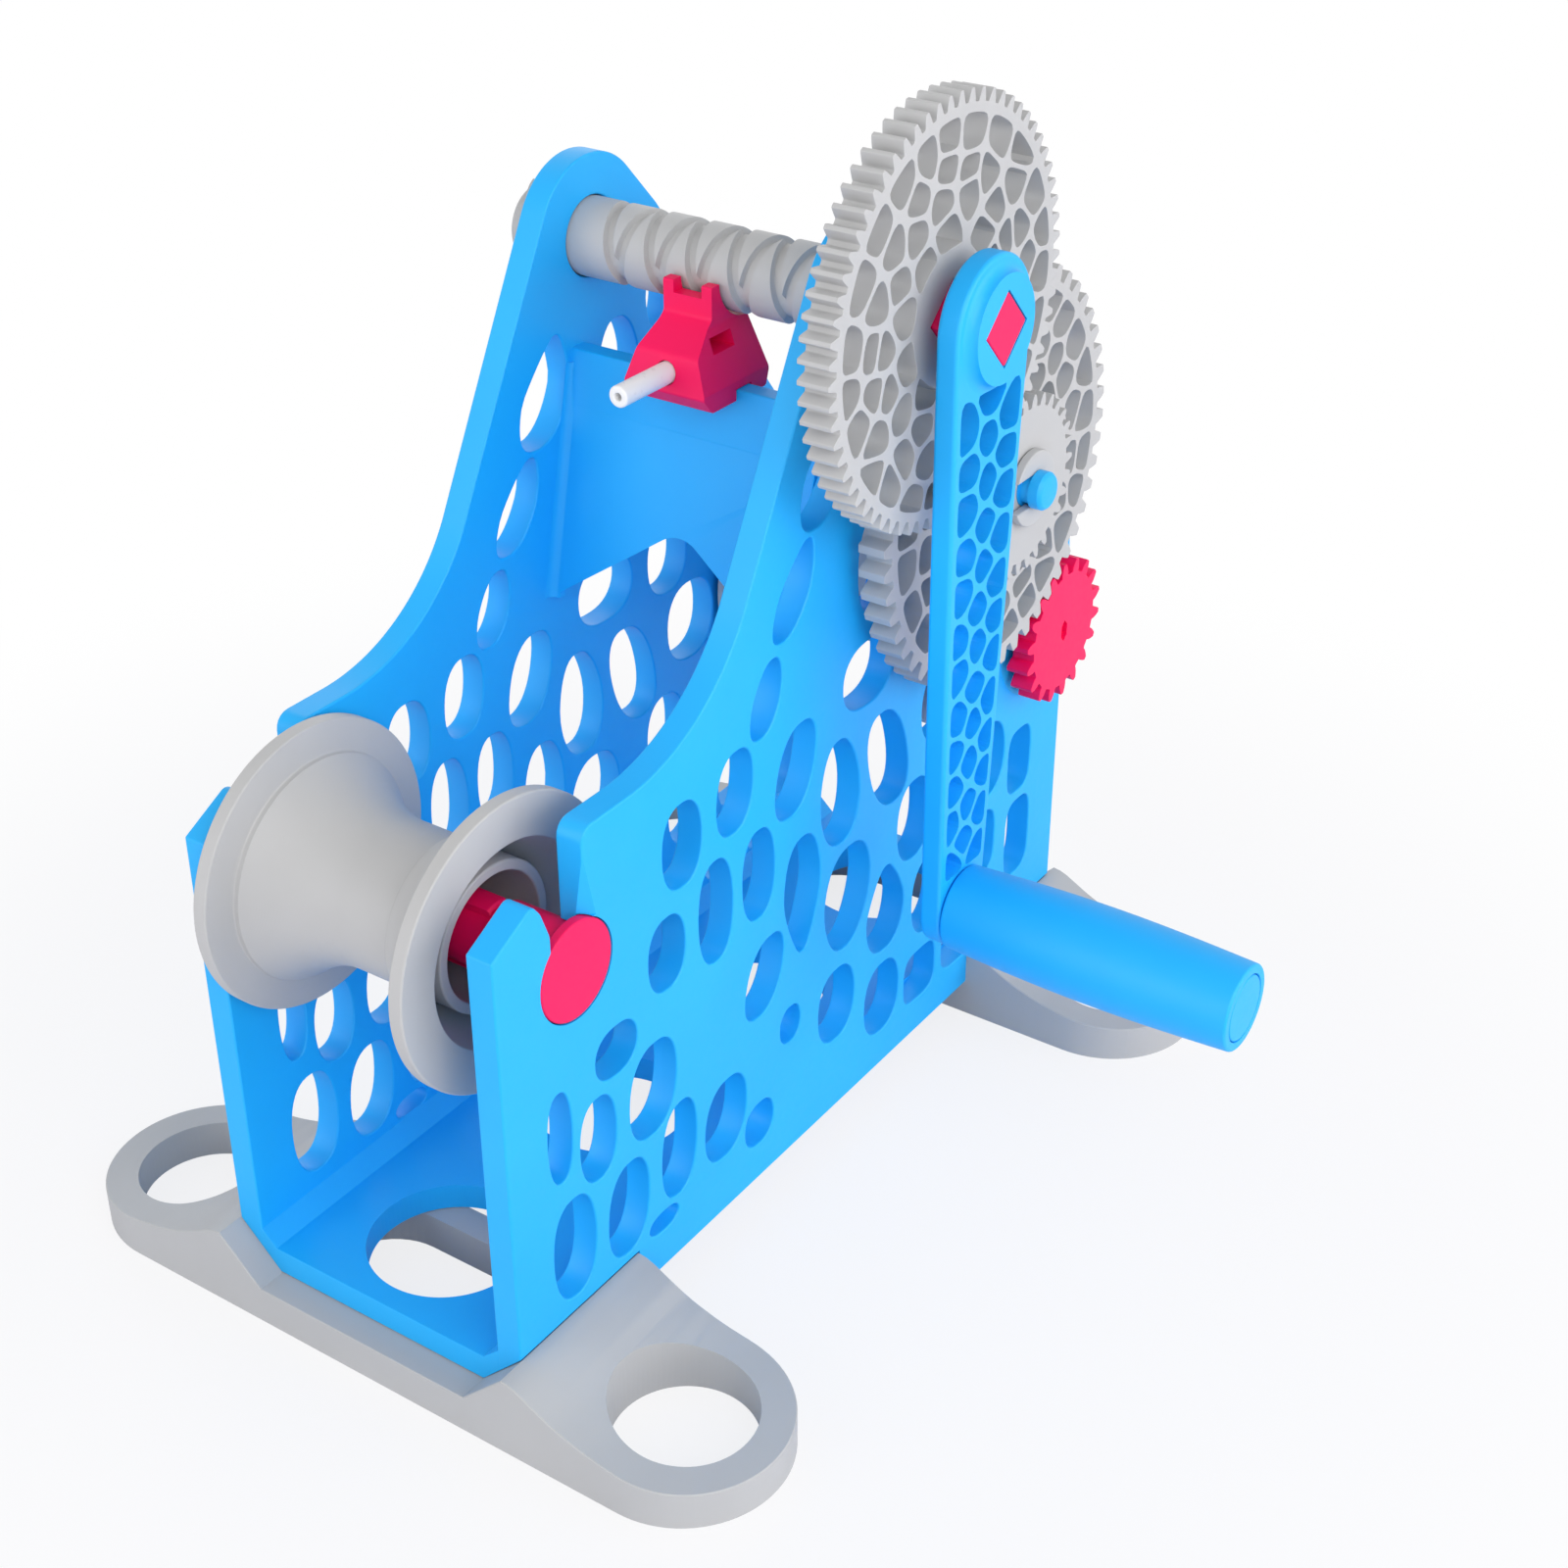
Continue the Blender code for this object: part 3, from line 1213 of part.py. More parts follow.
pawlTop = -(screwRadius - pawlReach)
pawlNeck = pawlTop - pawlTipLength
pawlProfile = [(pawlTop, 0), (pawlTop, pawlTipRadius), (pawlNeck, pawlTipRadius),
               (pawlNeck, pawlRadius), (pawlNeck - pawlLength, pawlRadius),
               (pawlNeck - pawlLength, 0)]


# Turn an item made along X so that it points at the screw axis at the pawl's angle.
def aimedAtScrew(item):
    item.data.transform(Matrix.Rotation(math.pi / 2, 4, "Z"))
    item.data.transform(Matrix.Rotation(pawlAngle - math.pi, 4, "X"))
    return shifted(item, guideRestX, *screwAxis)


pawlHole = turned("guide_pawl_hole", [
    (pawlTop + overrun, 0), (pawlTop + overrun, pawlRadius + seatGap),
    (pawlNeck - pawlLength - seatGap, pawlRadius + seatGap),
    (pawlNeck - pawlLength - seatGap, 0)], 12, tools)
combine(guide, aimedAtScrew(pawlHole), "DIFFERENCE")
finish(guide, redGuide, False)
guidePivot = (guideRestX, fromScrew(guideNoseY), guideBottom)
place(guide, guidePivot)

pawl = aimedAtScrew(turned("guide_pawl", pawlProfile, 12, parts))
finish(pawl, redPawl)
place(pawl, (guideRestX, *screwAxis), guide)

tubeMesh = turned("guide_tube", [
    (fromScrew(tubeFront), tubeBore), (fromScrew(tubeFront), tubeRadius),
    (fromScrew(tubeBack), tubeRadius), (fromScrew(tubeBack), tubeBore)], smallSteps, parts)
tubeMesh.data.transform(Matrix.Rotation(math.pi / 2, 4, "Z"))
shifted(tubeMesh, guideRestX, 0, tubeZ)
finish(tubeMesh, whiteTube)
place(tubeMesh, (guideRestX, fromScrew(tubeBack), tubeZ), guide)


# Snap clips on the far side
def snapClip(name, axis, outer, inner, turn, surface):
    high = -(plateOuter + seatGap)
    up = math.pi / 2 + turn
    clip = slab(name, [clipOutline(axis, outer, inner, clipMouth, up, 14)],
                high - clipFlange, high, "side", parts)
    bodyOutline = clipOutline(axis, inner + clipWall, inner + clipSeam,
                              clipBodyMouth, up, 14)
    body = slab(name + "_body", [bodyOutline], high - clipDepth, high - clipFlange / 2,
                "side", tools)
    combine(clip, body, "UNION")
    for index, side in enumerate((-1, 1)):
        toward = up + math.pi + side * clipLobeSpread
        reach = inner + clipWall + clipLobe / 2
        lobe = slab(name + "_lobe_%d" % index, [circle(
            axis[0] + reach * math.cos(toward), axis[1] + reach * math.sin(toward),
            clipLobe, 12)], high - clipDepth + clipFlange / 3, high - clipFlange / 3, "side", tools)
        combine(clip, lobe, "UNION")
    finish(clip, surface)
    return place(clip, (high, *axis))


snapClip("screw_clip", screwAxis, screwClipRadius, screwRadius + runGap, 0, greys["screw_clip"])
snapClip("shaft_clip", frontAxis, shaftClipRadius, shaftCore + runGap, shaftClipTurn,
         greys["shaft_clip"])

bpy.context.view_layer.update()
print("pieces:", len(parts.objects))
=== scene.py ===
# Filament spool winder in blue, grey and red printed plastic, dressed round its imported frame.
import json
import random
import bpy
import bmesh
from math import acos, asin, atan2, copysign, cos, dist, pi, radians, sin, sqrt, tan
from mathutils import Matrix, Vector


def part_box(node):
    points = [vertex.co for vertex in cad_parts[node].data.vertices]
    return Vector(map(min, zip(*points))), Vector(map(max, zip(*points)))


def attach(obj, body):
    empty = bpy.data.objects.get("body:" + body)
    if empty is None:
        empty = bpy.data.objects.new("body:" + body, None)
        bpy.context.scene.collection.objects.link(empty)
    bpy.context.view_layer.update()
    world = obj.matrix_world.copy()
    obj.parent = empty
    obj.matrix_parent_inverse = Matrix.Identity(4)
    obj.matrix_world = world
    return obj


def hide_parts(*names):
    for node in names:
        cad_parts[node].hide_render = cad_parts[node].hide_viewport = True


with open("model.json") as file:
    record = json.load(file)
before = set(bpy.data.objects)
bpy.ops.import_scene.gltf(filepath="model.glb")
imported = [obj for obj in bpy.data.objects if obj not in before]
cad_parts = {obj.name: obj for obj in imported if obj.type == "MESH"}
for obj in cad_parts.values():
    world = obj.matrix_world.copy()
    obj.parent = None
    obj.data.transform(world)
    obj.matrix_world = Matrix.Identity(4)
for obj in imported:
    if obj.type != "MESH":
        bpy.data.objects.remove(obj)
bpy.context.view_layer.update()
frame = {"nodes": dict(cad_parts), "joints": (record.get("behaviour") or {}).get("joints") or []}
print("frame loaded,", len(frame["nodes"]), "nodes")

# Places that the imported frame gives: the plates, the axes and how far each piece reaches
farLow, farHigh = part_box("far_side_plate")
plateOuter, plateInner = -farLow.x, -farHigh.x
frameFront, frameRear = farLow.y, farHigh.y
frameLength = frameRear - frameFront
frameFoot, towerTop = farLow.z, farHigh.z


def axisOf(joint):
    found = next(j for j in frame["joints"] if j["name"] == joint)
    return found["pos_m"][1], found["pos_m"][2]


screwAxis = axisOf("crank_spin")
idlerAxis = axisOf("idler_spin")
rearAxis = axisOf("rear_spool_spin")
frontAxis = axisOf("front_spool_spin")
handleAxis = axisOf("grip_spin")

general = {
    "seam": 0.0003,        # gap between pieces that touch
    "play": 0.0003,        # radial play of what turns
    "overrun": 0.002,      # how far a cutter passes what it cuts
    "merge": 0.00001,      # points nearer than this are one
    "edge": 0.0005,        # rounding of a printed edge
    "sharpAngle": radians(32),
    "flatWeight": 90,      # how much large faces lead the shading
}
seam, play, overrun = general["seam"], general["play"], general["overrun"]


# Making shapes: flat outlines and turned profiles, cut and joined
def addObject(name, data):
    piece = bpy.data.objects.new(name, data)
    bpy.context.scene.collection.objects.link(piece)
    return piece


def bakedMesh(piece):
    bpy.context.view_layer.update()
    depsgraph = bpy.context.evaluated_depsgraph_get()
    return bpy.data.meshes.new_from_object(piece.evaluated_get(depsgraph))


def bake(piece):
    mesh = bakedMesh(piece)
    piece.modifiers.clear()
    old = piece.data
    piece.data = mesh
    bpy.data.meshes.remove(old)
    return piece


def closeUp(mesh):
    work = bmesh.new()
    work.from_mesh(mesh)
    bmesh.ops.remove_doubles(work, verts=work.verts[:], dist=general["merge"])
    bmesh.ops.recalc_face_normals(work, faces=work.faces[:])
    work.to_mesh(mesh)
    work.free()
    return mesh


def pieceFrom(work, name):
    mesh = bpy.data.meshes.new(name)
    work.to_mesh(mesh)
    work.free()
    return addObject(name, closeUp(mesh))


def loft(name, rings):
    # closed skin through rings of points, flat at both ends
    work = bmesh.new()
    rings = [[work.verts.new(point) for point in ring] for ring in rings]
    for one, two in zip(rings, rings[1:]):
        for i in range(len(one)):
            after = (i + 1) % len(one)
            work.faces.new((one[i], one[after], two[after], two[i]))
    work.faces.new(rings[0])
    work.faces.new(rings[-1])
    return pieceFrom(work, name)


# side: outline along Y and up, thickness along X; front: along X and up; flat: along X and Y
planes = {
    "side": Matrix(((0, 0, 1, 0), (1, 0, 0, 0), (0, 1, 0, 0), (0, 0, 0, 1))),
    "front": Matrix(((1, 0, 0, 0), (0, 0, -1, 0), (0, 1, 0, 0), (0, 0, 0, 1))),
    "flat": Matrix.Identity(4),
}


def slab(name, outlines, low, high, plane, edge=0.0, rings=2):
    # first outline solid, the others holes; edge rounds every rim
    curve = bpy.data.curves.new(name, "CURVE")
    curve.dimensions = "2D"
    curve.fill_mode = "BOTH"
    curve.extrude = (high - low) / 2 - edge
    curve.bevel_depth = edge
    curve.bevel_resolution = rings
    curve.offset = -edge
    for outline in outlines:
        spline = curve.splines.new("POLY")
        spline.points.add(len(outline) - 1)
        for point, (across, up) in zip(spline.points, outline):
            point.co = (across, up, 0, 1)
        spline.use_cyclic_u = True
    drawn = addObject(name + "_outline", curve)
    mesh = bakedMesh(drawn)
    bpy.data.objects.remove(drawn)
    bpy.data.curves.remove(curve)
    middle = (low + high) / 2
    mesh.transform(Matrix.Translation((0, 0, -middle if plane == "front" else middle)))
    mesh.transform(planes[plane])
    return addObject(name, closeUp(mesh))


def turned(name, profile, axis, steps=96):
    # (place along X, radius) turned about an axis along X
    mesh = bpy.data.meshes.new(name)
    count = len(profile)
    edges = [(i, i + 1) for i in range(count - 1)]
    if profile[0][1] > 0 or profile[-1][1] > 0:
        edges.append((count - 1, 0))
    mesh.from_pydata([(radius, 0, along) for along, radius in profile], edges, [])
    spun = addObject(name + "_profile", mesh)
    screw = spun.modifiers.new("turn", "SCREW")
    screw.steps = steps
    screw.render_steps = steps
    screw.use_merge_vertices = True
    screw.merge_threshold = general["merge"]
    result = bakedMesh(spun)
    bpy.data.objects.remove(spun)
    result.transform(Matrix.Rotation(pi / 2, 4, "Y"))
    result.transform(Matrix.Translation((0, *axis)))
    return addObject(name, closeUp(result))


def inTriangles(mesh):
    work = bmesh.new()
    work.from_mesh(mesh)
    bmesh.ops.triangulate(work, faces=work.faces[:])
    work.to_mesh(mesh)
    work.free()


def change(piece, tool, operation):
    inTriangles(piece.data)
    inTriangles(tool.data)
    step = piece.modifiers.new(operation.lower(), "BOOLEAN")
    step.operation = operation
    step.object = tool
    step.solver = "EXACT"
    bake(piece)
    closeUp(piece.data)
    bpy.data.objects.remove(tool)
    return piece


def cut(piece, tool):
    return change(piece, tool, "DIFFERENCE")


def join(piece, tool):
    return change(piece, tool, "UNION")


def keepInside(piece, tool):
    return change(piece, tool, "INTERSECT")


def cutThrough(piece, outline, low, high, plane="side"):
    return cut(piece, slab("hole", [outline], low - overrun, high + overrun, plane))


def roundEdges(piece, width, angle=radians(30)):
    step = piece.modifiers.new("edges", "BEVEL")
    step.width = width
    step.segments = 2
    step.limit_method = "ANGLE"
    step.angle_limit = angle
    return bake(piece)


def transformed(piece, *matrices):
    for matrix in matrices:
        piece.data.transform(matrix)
    return piece


def onCircle(centre, radius, angle):
    return centre[0] + radius * cos(angle), centre[1] + radius * sin(angle)


def arc(centre, radius, first, last, steps):
    return [onCircle(centre, radius, first + (last - first) * i / steps) for i in range(steps + 1)]


def circle(centre, radius, steps, start=0.0):
    return arc(centre, radius, start, start + 2 * pi, steps)[:-1]


def cove(rise, out, steps):
    # concave quarter round as (rise, out), from the far end of its foot to its top
    turns = [pi / 2 * i / steps for i in range(steps + 1)]
    return [(rise * (1 - cos(turn)), out * (1 - sin(turn))) for turn in turns]


def mirrored(points):
    return [(-point[0], *point[1:]) for point in reversed(points)]


def sharp(points):
    # corners for softCorners that stay as they are
    return [(*point, 0) for point in points]


def softCorners(points, steps=5):
    # (along, up, radius) corners of an outline, each rounded by its radius
    outline = []
    for i, (along, up, radius) in enumerate(points):
        here = Vector((along, up))
        before = Vector(points[i - 1][:2]) - here
        after = Vector(points[(i + 1) % len(points)][:2]) - here
        half = before.angle(after, pi) / 2
        if radius <= 0 or half > radians(89):
            outline.append((along, up))
            continue
        reach = min(radius / tan(half), before.length * 0.49, after.length * 0.49)
        bend = reach * tan(half)
        middle = here + (before.normalized() + after.normalized()).normalized() * bend / sin(half)
        start = here + before.normalized() * reach - middle
        end = here + after.normalized() * reach - middle
        first = atan2(start.y, start.x)
        turn = (atan2(end.y, end.x) - first + pi) % (2 * pi) - pi
        outline += arc(middle, bend, first, first + turn, steps)
    return outline


def moved(outline, axis):
    return [(along + axis[0], up + axis[1]) for along, up in outline]


def tangentAngle(centre, radius, outside, side):
    # angle on a circle where a line from a point outside touches it
    away = atan2(outside[1] - centre[1], outside[0] - centre[0])
    return away + side * acos(radius / dist(outside, centre))


# Printed plastic: satin colour with faint layer lines, mottling and a softer sheen in places
plasticLook = {
    "layer": 0.0003,           # height of a printed layer
    "layerDepth": 0.000012,
    "layerWaver": 0.4,
    "mottle": 0.0022,          # size of the fine mottling
    "mottleDepth": 0.000010,
    "drift": 0.035,            # size of the slow change of tone
    "lift": 0.004,             # what the lighter tone adds to each colour
    "smoother": 0.05,          # how far the roughness goes down and up
    "rougher": 0.07,
    "bumpStrength": 0.5,
    "waveUnit": 0.314159,      # period of Blender's band wave at scale 1
}


def feed(tree, node, inputs):
    # each input takes a value or another node's output
    for socket, value in inputs.items():
        if isinstance(value, bpy.types.NodeSocket):
            tree.links.new(value, node.inputs[socket])
        else:
            node.inputs[socket].default_value = value
    return node


def addNode(tree, kind, inputs):
    return feed(tree, tree.nodes.new("ShaderNode" + kind), inputs)


def addSurface(name):
    surface = bpy.data.materials.new(name)
    surface.use_nodes = True
    return surface, surface.node_tree, surface.node_tree.nodes["Principled BSDF"]


def printedPlastic(name, colour, roughness, layers, variation=0.06, shine=0.45):
    # layers is the axis the piece was printed along: X, Y or Z
    look = plasticLook
    surface, tree, shader = addSurface(name)
    place = addNode(tree, "TexCoord", {}).outputs["Object"]
    drift = addNode(tree, "TexNoise", {"Vector": place, "Scale": 1 / look["drift"], "Detail": 3})
    tone = addNode(tree, "Mix", {})
    tone.data_type = "RGBA"
    feed(tree, tone, {
        "Factor": drift.outputs["Fac"], "A": (*[c * (1 - variation) for c in colour], 1),
        "B": (*[min(1, c * (1 + variation) + look["lift"]) for c in colour], 1)})
    mottle = addNode(tree, "TexNoise", {"Vector": place, "Scale": 1 / look["mottle"], "Detail": 4})
    sheen = addNode(tree, "MapRange", {
        "Value": mottle.outputs["Fac"], "To Min": roughness - look["smoother"],
        "To Max": roughness + look["rougher"]})
    lines = addNode(tree, "TexWave", {
        "Vector": place, "Scale": look["waveUnit"] / look["layer"],
        "Distortion": look["layerWaver"], "Detail": 1})
    lines.wave_type = "BANDS"
    lines.bands_direction = layers
    ridges = addNode(tree, "Bump", {
        "Height": lines.outputs["Fac"], "Strength": look["bumpStrength"],
        "Distance": look["layerDepth"]})
    grain = addNode(tree, "Bump", {
        "Height": mottle.outputs["Fac"], "Strength": look["bumpStrength"],
        "Distance": look["mottleDepth"], "Normal": ridges.outputs["Normal"]})
    feed(tree, shader, {"Base Color": tone.outputs["Result"], "Roughness": sheen.outputs["Result"],
                        "Specular IOR Level": shine, "Normal": grain.outputs["Normal"]})
    return surface


colours = {
    "blue": (0.006, 0.440, 0.98),
    "grey": (0.49, 0.49, 0.49),
    "footGrey": (0.46, 0.465, 0.47),
    "red": (0.95, 0.001, 0.105),
    "white": (0.86, 0.86, 0.86),
}
blueFrame = printedPlastic("blue_frame_plastic", colours["blue"], 0.46, "Z")
blueCrank = printedPlastic("blue_crank_plastic", colours["blue"], 0.44, "X")
greyTurned = printedPlastic("grey_turned_plastic", colours["grey"], 0.50, "X")
greyFoot = printedPlastic("grey_foot_plastic", colours["footGrey"], 0.52, "Z")
redTurned = printedPlastic("red_turned_plastic", colours["red"], 0.42, "X", shine=0.30)
redGuide = printedPlastic("red_guide_plastic", colours["red"], 0.44, "Y", shine=0.25)
whiteTube = printedPlastic("white_tube_plastic", colours["white"], 0.28, "Y", 0.02)
print("materials made")


def dress(piece, surface, body, slot, *nodes):
    piece.data.materials.clear()
    piece.data.materials.append(surface)
    piece.data.shade_smooth()
    piece.data.set_sharp_from_angle(angle=general["sharpAngle"])
    weigh = piece.modifiers.new("flat faces", "WEIGHTED_NORMAL")
    weigh.keep_sharp = True
    weigh.weight = general["flatWeight"]
    bake(piece)
    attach(piece, body)
    if nodes:
        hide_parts(*nodes)
    return piece


# Side plates
plate = {"prongTop": 0.149, "prongRise": 0.008, "prongDepth": 0.0155, "prongCorner": 0.0025,
         "shoulderTop": 0.168, "shoulderEnd": 0.052, "shoulderCorner": 0.0045, "slotFront": 0.0215,
         "slotRear": 0.0345, "slotLip": 0.145, "slotCorner": 0.006, "tipCorner": 0.0008,
         "sweepRadius": 0.0584, "sweepTurn": radians(60), "towerRadius": 0.0227,
         "slopeCorner": 0.02, "rearTop": 0.152, "rearCorner": 0.0030, "rearBossRadius": 0.0239,
         "rearBossOut": 0.0030, "rearBossCove": 0.0085, "rearBossStep": 0.0008, "cornerCut": 0.0137,
         "slotBevelLow": 0.142, "slotBevelWide": 0.0050, "slotBevelDeep": 0.0045,
         "seatDepth": 0.0032, "seatRadius": 0.0141, "edge": 0.0006}
# Each opening: centre along and up, half width, half height, lean of its top, narrowing of its
# top and bottom, in 275.4ths of the frame's length and 283.8ths of the tower's height
openingParts = (275.4, 283.8)
roundPowers = (0.80, 0.90)
squarePowers = (0.55, 0.55)
roundOpeningShares = (
    (73.5, 143, 8.3, 12.3, 0, 0, 0), (96.5, 147, 8.0, 12.0, 1, 0, 0),
    (66, 114, 7.8, 11.0, 0, 0, 0), (87.4, 115, 7.6, 15.8, 0, 0, 0),
    (107, 116, 7.5, 14.0, 0, 0, 0), (124.5, 140, 9, 13.5, 3, 0, 0),
    (128, 98, 9, 19, 0, 0, 0.5), (44, 97, 8.5, 7.5, 0, 0, 0),
    (20.5, 84, 4.7, 14, 0, 0, 0), (35.3, 74, 7.3, 13, 0, 0, 0),
    (58.5, 75, 10, 14.5, 1, 0, 0), (24, 46, 8.5, 16, 0, 0, 0),
    (46.5, 43, 8.6, 14.8, 1, 0, 0), (69, 48, 7.7, 15.3, 1, 0, 0),
    (90.5, 44, 9.7, 13, 1, 0, 0), (61.3, 28, 6.4, 3.2, 0, 0, 0),
    (106.5, 31.5, 6.9, 7.2, 0, 0, 0), (109.5, 81, 8.6, 12, 3, 0, 0),
    (122, 57, 5, 6, 0, 0, 0), (146, 49.5, 9.5, 12.5, 0, 0, 0),
    (160, 154, 12.5, 10, 0, 0, 0), (146.5, 122, 9.8, 17, -1, 0.2, 0),
    (171.5, 121, 9.8, 16.5, -4, 0, 0), (201, 127, 11.5, 13, 0, 0, 0),
    (187, 92.5, 9.3, 13.5, 0, 0, 0), (207.5, 92, 8.6, 17, 1, 0, 0),
    (230.5, 91, 10.0, 13, 0, 0, 0), (151, 84.5, 11.8, 17, 1, 0, 0.2),
    (172, 69, 10.3, 14.8, 0, 0.5, 0), (196.5, 61, 9.3, 13.4, 0, 0, 0),
    (171, 37, 9.6, 12.5, 0, 0, 0), (111, 168, 6.5, 10.5, 3, 0.2, 0),
    (124, 194, 7.5, 12.5, 6, 0.4, 0), (138, 223, 10, 15, 5, 0.6, 0),
    (170, 222, 9, 13, 0, 0.2, 0), (189, 238, 5.5, 12, 0, 0.5, 0),
    (190, 153, 9.5, 12, 0, 0, 0), (163, 187, 9, 15, 0, 0, 0),
)
squareOpeningShares = (
    (250.5, 82, 7, 11.4, 0, 0, 0), (225.5, 61, 11, 12, 0, 0, 0),
    (251.5, 53, 7.5, 14, 0, 0, 0), (193, 33, 9, 9, 0, 0, 0),
    (216.5, 34.5, 10.5, 10, 0, 0, 0), (239, 30.5, 8.3, 5.8, 0, 0.3, 0),
)
rearSlopeShares = ((189.5, 263.0), (241.0, 196.0))
idlerStub = {"bossOut": 0.0037, "bossRadius": 0.0090, "radius": 0.0055, "neck": 0.0045,
             "chamfer": 0.0012, "shoulder": 0.3, "drop": 0.5}
screwRadius = 0.0109
journalRadius = 0.0109


def fromFront(distance):
    return frameFront + distance


def openingOutline(row, powers, steps=40):
    along, up, halfWide, halfHigh, lean, pinchTop, pinchLow = row
    unitAlong = frameLength / openingParts[0]
    unitUp = towerTop / openingParts[1]
    outline = []
    for i in range(steps):
        angle = 2 * pi * (i + 0.5) / steps
        wide = copysign(abs(cos(angle)) ** powers[0], cos(angle))
        high = copysign(abs(sin(angle)) ** powers[1], sin(angle))
        wide *= 1 - (pinchTop if high > 0 else pinchLow) * abs(high)
        outline.append((fromFront(unitAlong * (along + halfWide * wide + lean * high)),
                        unitUp * (up + halfHigh * high)))
    return outline


def plateOpenings():
    rounded = [openingOutline(row, roundPowers) for row in roundOpeningShares]
    return rounded + [openingOutline(row, squarePowers) for row in squareOpeningShares]


def plateOutline():
    # seen from the crank side, front to the left, anticlockwise
    sizes = plate
    slotFront, slotRear = fromFront(sizes["slotFront"]), fromFront(sizes["slotRear"])
    sweepRadius, sweepTurn = sizes["sweepRadius"], sizes["sweepTurn"]
    tipTop = sizes["prongTop"] + sizes["prongRise"]
    bulge = acos((frameRear - rearAxis[0]) / sizes["rearBossRadius"])
    points = [(frameFront, frameFoot, 0), (frameRear, frameFoot, 0)]
    points += sharp(arc(rearAxis, sizes["rearBossRadius"], -bulge, bulge, 12))
    points.append((frameRear, sizes["rearTop"], sizes["rearCorner"]))
    unitAlong, unitUp = frameLength / openingParts[0], towerTop / openingParts[1]
    slope = [(fromFront(a * unitAlong), b * unitUp) for a, b in reversed(rearSlopeShares)]
    points += [(*p, sizes["slopeCorner"]) for p in slope]
    first = tangentAngle(screwAxis, sizes["towerRadius"], slope[-1], 1)
    sweepCentre = (fromFront(sizes["shoulderEnd"]), sizes["shoulderTop"] + sweepRadius)
    sweepEnd = (sweepCentre[0] + sweepRadius * sin(sweepTurn),
                sweepCentre[1] - sweepRadius * cos(sweepTurn))
    last = tangentAngle(screwAxis, sizes["towerRadius"], sweepEnd, -1) % (2 * pi)
    points += sharp(arc(screwAxis, sizes["towerRadius"], first, last, 36))
    points += sharp(arc(sweepCentre, sweepRadius, -pi / 2 + sweepTurn, -pi / 2, 28))
    points.append((slotRear, sizes["shoulderTop"], sizes["shoulderCorner"]))
    seat = journalRadius + play
    rearAngle = acos((slotRear - frontAxis[0]) / seat)
    frontAngle = pi - acos((frontAxis[0] - slotFront) / seat)
    points += sharp(arc(frontAxis, seat, rearAngle, frontAngle - 2 * pi, 44))
    points += [(slotFront, sizes["slotLip"], sizes["slotCorner"]),
               (fromFront((sizes["slotFront"] + sizes["prongDepth"]) / 2),
                sizes["prongTop"] + sizes["prongRise"] / 2, sizes["slotCorner"]),
               (fromFront(sizes["prongDepth"]), tipTop, sizes["prongCorner"]),
               (frameFront, sizes["prongTop"], sizes["tipCorner"])]
    return softCorners(points)


def cutCorners(piece, sides):
    # takes the 45 degree corners off the frame where the feet hold it
    low, far = frameFoot - overrun, plateOuter + overrun
    for side in sides:
        corner = [(side * (plateOuter - plate["cornerCut"] - overrun), low), (side * far, low),
                  (side * far, frameFoot + plate["cornerCut"] + overrun)]
        for start, end in ((frameFront - overrun, frameFront + footReach),
                           (frameRear - footReach, frameRear + overrun)):
            cut(piece, slab("corner", [corner], start, end, "front"))


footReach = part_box("front_foot")[1].y - frameFront + seam


def wedge(name, points):
    work = bmesh.new()
    for point in points:
        work.verts.new(point)
    bmesh.ops.convex_hull(work, input=work.verts[:])
    return pieceFrom(work, name)


def slotBevel(side):
    # slanted face on the outer rear side of the shaft slot, widening downwards
    edge = fromFront(plate["slotRear"])
    top, low = plate["shoulderTop"] + overrun, plate["slotBevelLow"]
    face, deep = side * (plateOuter + overrun), side * (plateOuter - plate["slotBevelDeep"])
    wide = edge + plate["slotBevelWide"]
    return wedge("slot_bevel", [
        (face, edge - overrun, top), (face, edge, top), (side * plateOuter, edge - overrun, top),
        (face, edge - overrun, low), (face, wide + overrun, low), (deep, edge - overrun, low)])


def sidePlate(name, side):
    sizes = plate
    outlines = [plateOutline()] + plateOpenings()
    outlines.append(circle(screwAxis, screwRadius + play, 72))
    if side < 0:
        outlines.append(circle(rearAxis, journalRadius + play, 72))
    low, high = sorted((side * plateInner, side * plateOuter))
    piece = slab(name, outlines, low, high, "side", sizes["edge"])
    cutCorners(piece, [side])
    low, high = sorted((side * (plateOuter - sizes["seatDepth"]), side * (plateOuter + overrun)))
    cut(piece, slab("seat", [circle(frontAxis, sizes["seatRadius"], 72)], low, high, "side"))
    return cut(piece, slotBevel(side))


def grown(outline, centre, share):
    return [(centre[0] + (along - centre[0]) * share, centre[1] + (up - centre[1]) * share)
            for along, up in outline]


# The boss ends inside the plate's outline and outside the openings beside it, by these shares
bossLimits = {"outline": 0.992, "opening": 1.06}


def rearBoss():
    # round boss with a cove; its walls stay a hair inside the plate's own
    radius, step = plate["rearBossRadius"], plate["rearBossStep"]
    top, base = plateOuter + plate["rearBossOut"], plateOuter - overrun
    profile = [(base, 0), (base, radius + plate["rearBossCove"])]
    profile += [(plateOuter + rise, radius - step + out)
                for rise, out in cove(plate["rearBossOut"], plate["rearBossCove"], 12)]
    profile += [(top, radius - 2 * step), (top, 0)]
    limits = [grown(plateOutline(), rearAxis, bossLimits["outline"])]
    for opening in plateOpenings():
        middle = [sum(p[i] for p in opening) / len(opening) for i in (0, 1)]
        if dist(middle, rearAxis) < 2 * radius:
            limits.append(grown(opening, middle, bossLimits["opening"]))
    return keepInside(turned("rear_boss", profile, rearAxis),
                      slab("boss_limit", limits, base - overrun, top + overrun, "side"))


